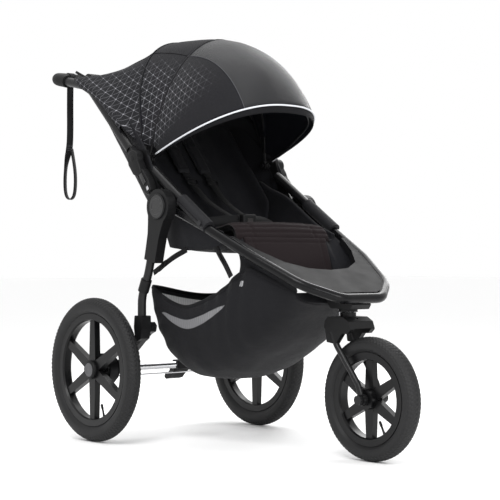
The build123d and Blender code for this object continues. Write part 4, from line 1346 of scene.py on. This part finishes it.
# bindings along the window's edges and curved body seams
def basket_line(name, fn, r, mat, y0, y1, n=46):
    out = []
    for sg in (0, 1):
        pts = []
        for q in range(n):
            y = lerp(y0, y1, q / (n - 1))
            i = min(range(NR), key=lambda i: abs(ys[i] - y))
            row = bg[i]
            tgt = fn(y)
            arc = 0.0
            seq = row if sg == 0 else row[::-1]
            p = seq[0]
            for a, b in zip(seq, seq[1:]):
                d = (b - a).length * 1000
                if arc + d >= tgt:
                    p = a.lerp(b, (tgt - arc) / d)
                    break
                arc += d
            side = -1 if sg == 0 else 1
            pts.append(p + Vector((side * 0.0007, 0, 0)))
        out.append(sweep(name, pts, circle(r, 6), mat))
    o = join(name, out)
    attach(o, "front_frame")
    return o


basket_line("basket_window_top", lambda y: 33.0, 0.0010, "binding", -147, -463)
basket_line("basket_window_low", lambda y: 33 + 30.0 * max(0, 1 - ((y + 305) / 160.0) ** 2) ** 0.8, 0.0012, "binding", -147, -463)
basket_line("basket_seam_a", lambda y: 86 + 30 * math.sin((y + 141) / -499 * math.pi), 0.0008, "thread_dark", -150, -600)

# straps that carry the basket, with buckles
def web_strap(name, pts, w=0.020):
    o = sweep(name, catmull(pts, 8), flat(w, 0.0018), "web", first=Vector((0, 1, 0.2)))
    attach(o, "front_frame")
    return o


def slide_buckle(name, c, along, across, w=26, h=17, r=2.0):
    along, across = along.normalized(), across.normalized()
    ring = [c + across * (sx * w / 2000) + along * (sy * h / 2000) for sx, sy in ((-1, -1), (1, -1), (1, 1), (-1, 1))]
    o1 = sweep("b1", catmull(ring, 5, True), circle(r / 1000, 8), "plastic", closed=True, first=along.cross(across))
    o2 = sweep("b2", [c - across * (w / 2000), c + across * (w / 2000)], circle(r / 1000, 8), "plastic")
    o = join(name, [o1, o2])
    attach(o, "front_frame")
    return o


for sg, tag in ((-1, "left"), (1, "right")):
    web_strap("basket_strap_rear_" + tag, [P(sg * 214, -158, 470), P(sg * 213, -190, 486), P(sg * 208, -238, 512), P(sg * 200, -286, 533)], 0.016)
    slide_buckle("basket_buckle_rear_" + tag, P(sg * 213.5, -196, 489), P(0, -238, 512) - P(0, -190, 486), Vector((0, 0.5, -0.86)), 20, 26)
    web_strap("basket_strap_front_" + tag, [P(sg * 196, -400, 545), P(sg * 200, -424, 520), P(sg * 203, -452, 492), P(sg * 203, -474, 462)], 0.016)
    slide_buckle("basket_buckle_front_" + tag, P(sg * 202.5, -440, 504), P(0, -452, 492) - P(0, -424, 520), Vector((0, 0.7, 0.7)), 20, 24)


# ------------------------------------------------------------------ wheels
def tyre(name, body, node, xc, y, z, R, W, rim_w, pitches):
    th = 0.215 * R if R > 180 else 0.245 * R
    rb = R - th
    prof = [(-rim_w / 2, rb), (-W * 0.47, rb + th * 0.22), (-W / 2, rb + th * 0.5), (-W * 0.455, rb + th * 0.72), (-W * 0.36, R - th * 0.15), (-W * 0.19, R - th * 0.03), (0, R),
            (W * 0.19, R - th * 0.03), (W * 0.36, R - th * 0.15), (W * 0.455, rb + th * 0.72), (W / 2, rb + th * 0.5), (W * 0.47, rb + th * 0.22), (rim_w / 2, rb)]
    line = catmull([Vector((a, b, 0)) for a, b in prof], 6)
    line = [Vector((max(-W / 2, min(W / 2, p.x)), min(R, p.y), 0)) for p in line]
    m = len(line)
    per = 6
    n = pitches * per
    verts = []
    for i in range(n):
        ph = i / per
        a = 2 * math.pi * i / n
        ca, sa = math.cos(a), math.sin(a)
        for j, q in enumerate(line):
            h = 0.0
            ax = abs(q.x) / (W / 2)
            if q.y > rb + th * 0.60:
                lane = ax * 4.2
                row = int(lane)
                fx = lane - row
                f = (ph + 0.9 * ax * (1 if q.x > 0 else -1) + 0.5 * row) % 1.0
                blk = smooth(0.0, 0.16, f) * (1 - smooth(0.62, 0.80, f))
                blk *= smooth(0.0, 0.14, fx) * (1 - smooth(0.82, 0.97, fx)) if row < 4 else 1
                h = (blk - 1) * 1.9 * smooth(rb + th * 0.58, rb + th * 0.68, q.y)
            elif q.y > rb + th * 0.18:
                h = -0.35 * (0.5 + 0.5 * math.cos(q.y * 2.2))
            else:
                h = 0.0
            # sidewall and crown move along the local normal, roughly
            nx = q.x / (W / 2)
            r = q.y + h * (1 - 0.55 * abs(nx))
            x = q.x + h * 0.55 * nx
            verts.append(P(xc + x, y + r * ca, z + r * sa))
    faces = []
    for i in range(n):
        for j in range(m - 1):
            faces.append((i * m + j, i * m + j + 1, ((i + 1) % n) * m + j + 1, ((i + 1) % n) * m + j))
        # close the bead side
        faces.append((i * m + m - 1, i * m, ((i + 1) % n) * m, ((i + 1) % n) * m + m - 1))
    o = obj(name, verts, [f for f in faces], ["tyre"])
    o.data.flip_normals() if False else None
    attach(o, body)
    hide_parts(node)
    return o


tyre("rear_left_tyre_tread", "rear_wheel_left", "rear_wheel_left_tyre", -300, 0, 200, 200, 45, 26, 104)
tyre("rear_right_tyre_tread", "rear_wheel_right", "rear_wheel_right_tyre", 300, 0, 200, 200, 45, 26, 104)
tyre("front_tyre_tread", "front_wheel", "front_wheel_tyre", 0, -780, 156.5, 156.5, 50, 30, 84)


def valve(name, body, xc, y, z, r0, ang):
    d = Vector((0, math.cos(ang), math.sin(ang)))
    c = P(xc, y, z)
    prof = [(r0 + 0, 3.4), (r0 - 6, 3.6), (r0 - 9, 2.9), (r0 - 24, 2.7), (r0 - 25, 3.6), (r0 - 36, 3.5), (r0 - 38, 2.4), (r0 - 38.4, 0.2)]
    verts, faces = [], []
    e1, e2 = Vector((1, 0, 0)), d.cross(Vector((1, 0, 0)))
    k = 14
    for r, rr in prof:
        for i in range(k):
            a = 2 * math.pi * i / k
            verts.append(c + d * (r / 1000) + (e1 * math.cos(a) + e2 * math.sin(a)) * (rr / 1000))
    for i in range(len(prof) - 1):
        for j in range(k):
            faces.append((i * k + j, i * k + (j + 1) % k, (i + 1) * k + (j + 1) % k, (i + 1) * k + j))
    o = obj(name, verts, faces, ["rubber"])
    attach(o, body)
    return o


valve("valve_rear_left", "rear_wheel_left", -300, 0, 200, 137.5, math.atan2(76 - 200, -44))
valve("valve_rear_right", "rear_wheel_right", 300, 0, 200, 137.5, math.radians(100))
valve("valve_front", "front_wheel", 0, -780, 156.5, 98.5, math.radians(-118))

# hub details: ribbed collars, a ring on each metal cap, and raised rings on the badges
for sg, tag in ((-1, "left"), (1, "right")):
    lathe_x("hub_ring_" + tag, "plastic", 0, 200, [(314.2, 26.5), (317.6, 25.5), (320.8, 22.6), (322.2, 19.8), (321.0, 18.9), (317.0, 18.9)], 48, sg, "rear_wheel_" + tag)
    lathe_x("cap_ring_" + tag, "cap", 0, 200, [(321.2, 13.2), (322.1, 12.6), (322.2, 11.4), (321.3, 10.8)], 40, sg, "rear_axle")
    lathe_x("badge_ring_" + tag, "plastic", -250, 648, [(273.0, 34.6), (275.6, 34.2), (277.2, 32.9), (277.0, 31.2), (275.8, 30.4)], 64, sg, "rear_frame")
    lathe_x("badge_inner_ring_" + tag, "badge", -250, 648, [(275.7, 22.6), (276.7, 22.0), (276.7, 21.0), (275.7, 20.4)], 56, sg, "rear_frame")
    lathe_x("drum_rib_" + tag, "drum", 0, 200, [(240.2, 36), (238.6, 35), (238.6, 30), (240.2, 29)], 48, sg, "rear_axle")
    lathe_x("pivot_cap_" + tag, "plastic", -135, 783, [(270.5, 9.8), (272.4, 9.2), (273.4, 7.4), (273.6, 0.3)], 32, sg, "front_frame")

# rounded latch block at the main fold, its release slide and a small bright catch
def prism(name, poly, x0, x1, mat, bevel, body):
    k = len(poly)
    verts = [P(x0, *q) for q in poly] + [P(x1, *q) for q in poly]
    faces = [tuple(range(k)), tuple(range(2 * k - 1, k - 1, -1))]
    for i in range(k):
        j = (i + 1) % k
        faces.append((i, i + k, j + k, j))
    o = obj(name, verts, faces, [mat])
    bpy.context.view_layer.objects.active = o
    for q in bpy.context.selected_objects:
        q.select_set(False)
    o.select_set(True)
    bpy.ops.object.mode_set(mode="EDIT")
    bpy.ops.mesh.select_all(action="SELECT")
    bpy.ops.mesh.normals_make_consistent(inside=False)
    bpy.ops.object.mode_set(mode="OBJECT")
    b = o.modifiers.new("bevel", "BEVEL")
    b.width = bevel / 1000
    b.segments = 4
    b.limit_method = "ANGLE"
    b.angle_limit = 0.4
    bpy.ops.object.modifier_apply(modifier="bevel")
    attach(o, body)
    return o


def arc(cy, cz, r, a0, a1, n=12):
    return [(cy + r * math.cos(math.radians(lerp(a0, a1, i / n))), cz + r * math.sin(math.radians(lerp(a0, a1, i / n)))) for i in range(n + 1)]


for sg, tag in ((-1, "left"), (1, "right")):
    xs = lambda a, b: (sg * a, sg * b) if sg > 0 else (sg * b, sg * a)
    x0, x1 = xs(246, 272)
    prism("latch_block_" + tag, arc(-135, 783, 22, -30, 195) + [(-166, 764), (-176, 742), (-160, 730), (-140, 738), (-118, 764)], x0, x1, "plastic", 3.2, "front_frame")
    x0, x1 = xs(244, 268)
    prism("latch_body_" + tag, [(-150, 742), (-172, 754), (-202, 722), (-214, 694), (-198, 682), (-178, 694), (-156, 722)], x0, x1, "plastic", 3.0, "front_frame")
    x0, x1 = xs(266, 271)
    prism("latch_slide_" + tag, [(-164, 736), (-176, 742), (-196, 716), (-186, 708)], x0, x1, "badge", 1.4, "front_frame")
    x0, x1 = xs(264, 270)
    prism("latch_catch_" + tag, [(-196, 702), (-203, 706), (-208, 696), (-201, 692)], x0, x1, "steel", 0.9, "front_frame")
    # zip pull with its rings beside the handle tube
    c = P(sg * 246, -30, 862)
    pts = [c + Vector((0, 0.010 * math.cos(2 * math.pi * i / 20), 0.0075 * math.sin(2 * math.pi * i / 20))) for i in range(20)]
    o = sweep("side_ring_" + tag, pts, circle(0.0014, 8), "steel", closed=True, first=Vector((1, 0, 0)))
    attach(o, "seat_back")

# sleeve seams along the armrests
for sg, tag in ((-1, "left"), (1, "right")):
    a, b = P(sg * 228, -306, 662), P(sg * 228, -410, 593)
    d = (b - a).normalized()
    off = Vector((sg * 0.0176, 0, 0))
    pts = [a.lerp(b, i / 30) + off for i in range(31)]
    o = sweep("sleeve_seam_" + tag, pts, circle(0.0009, 6), "thread_dark")
    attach(o, "front_frame")
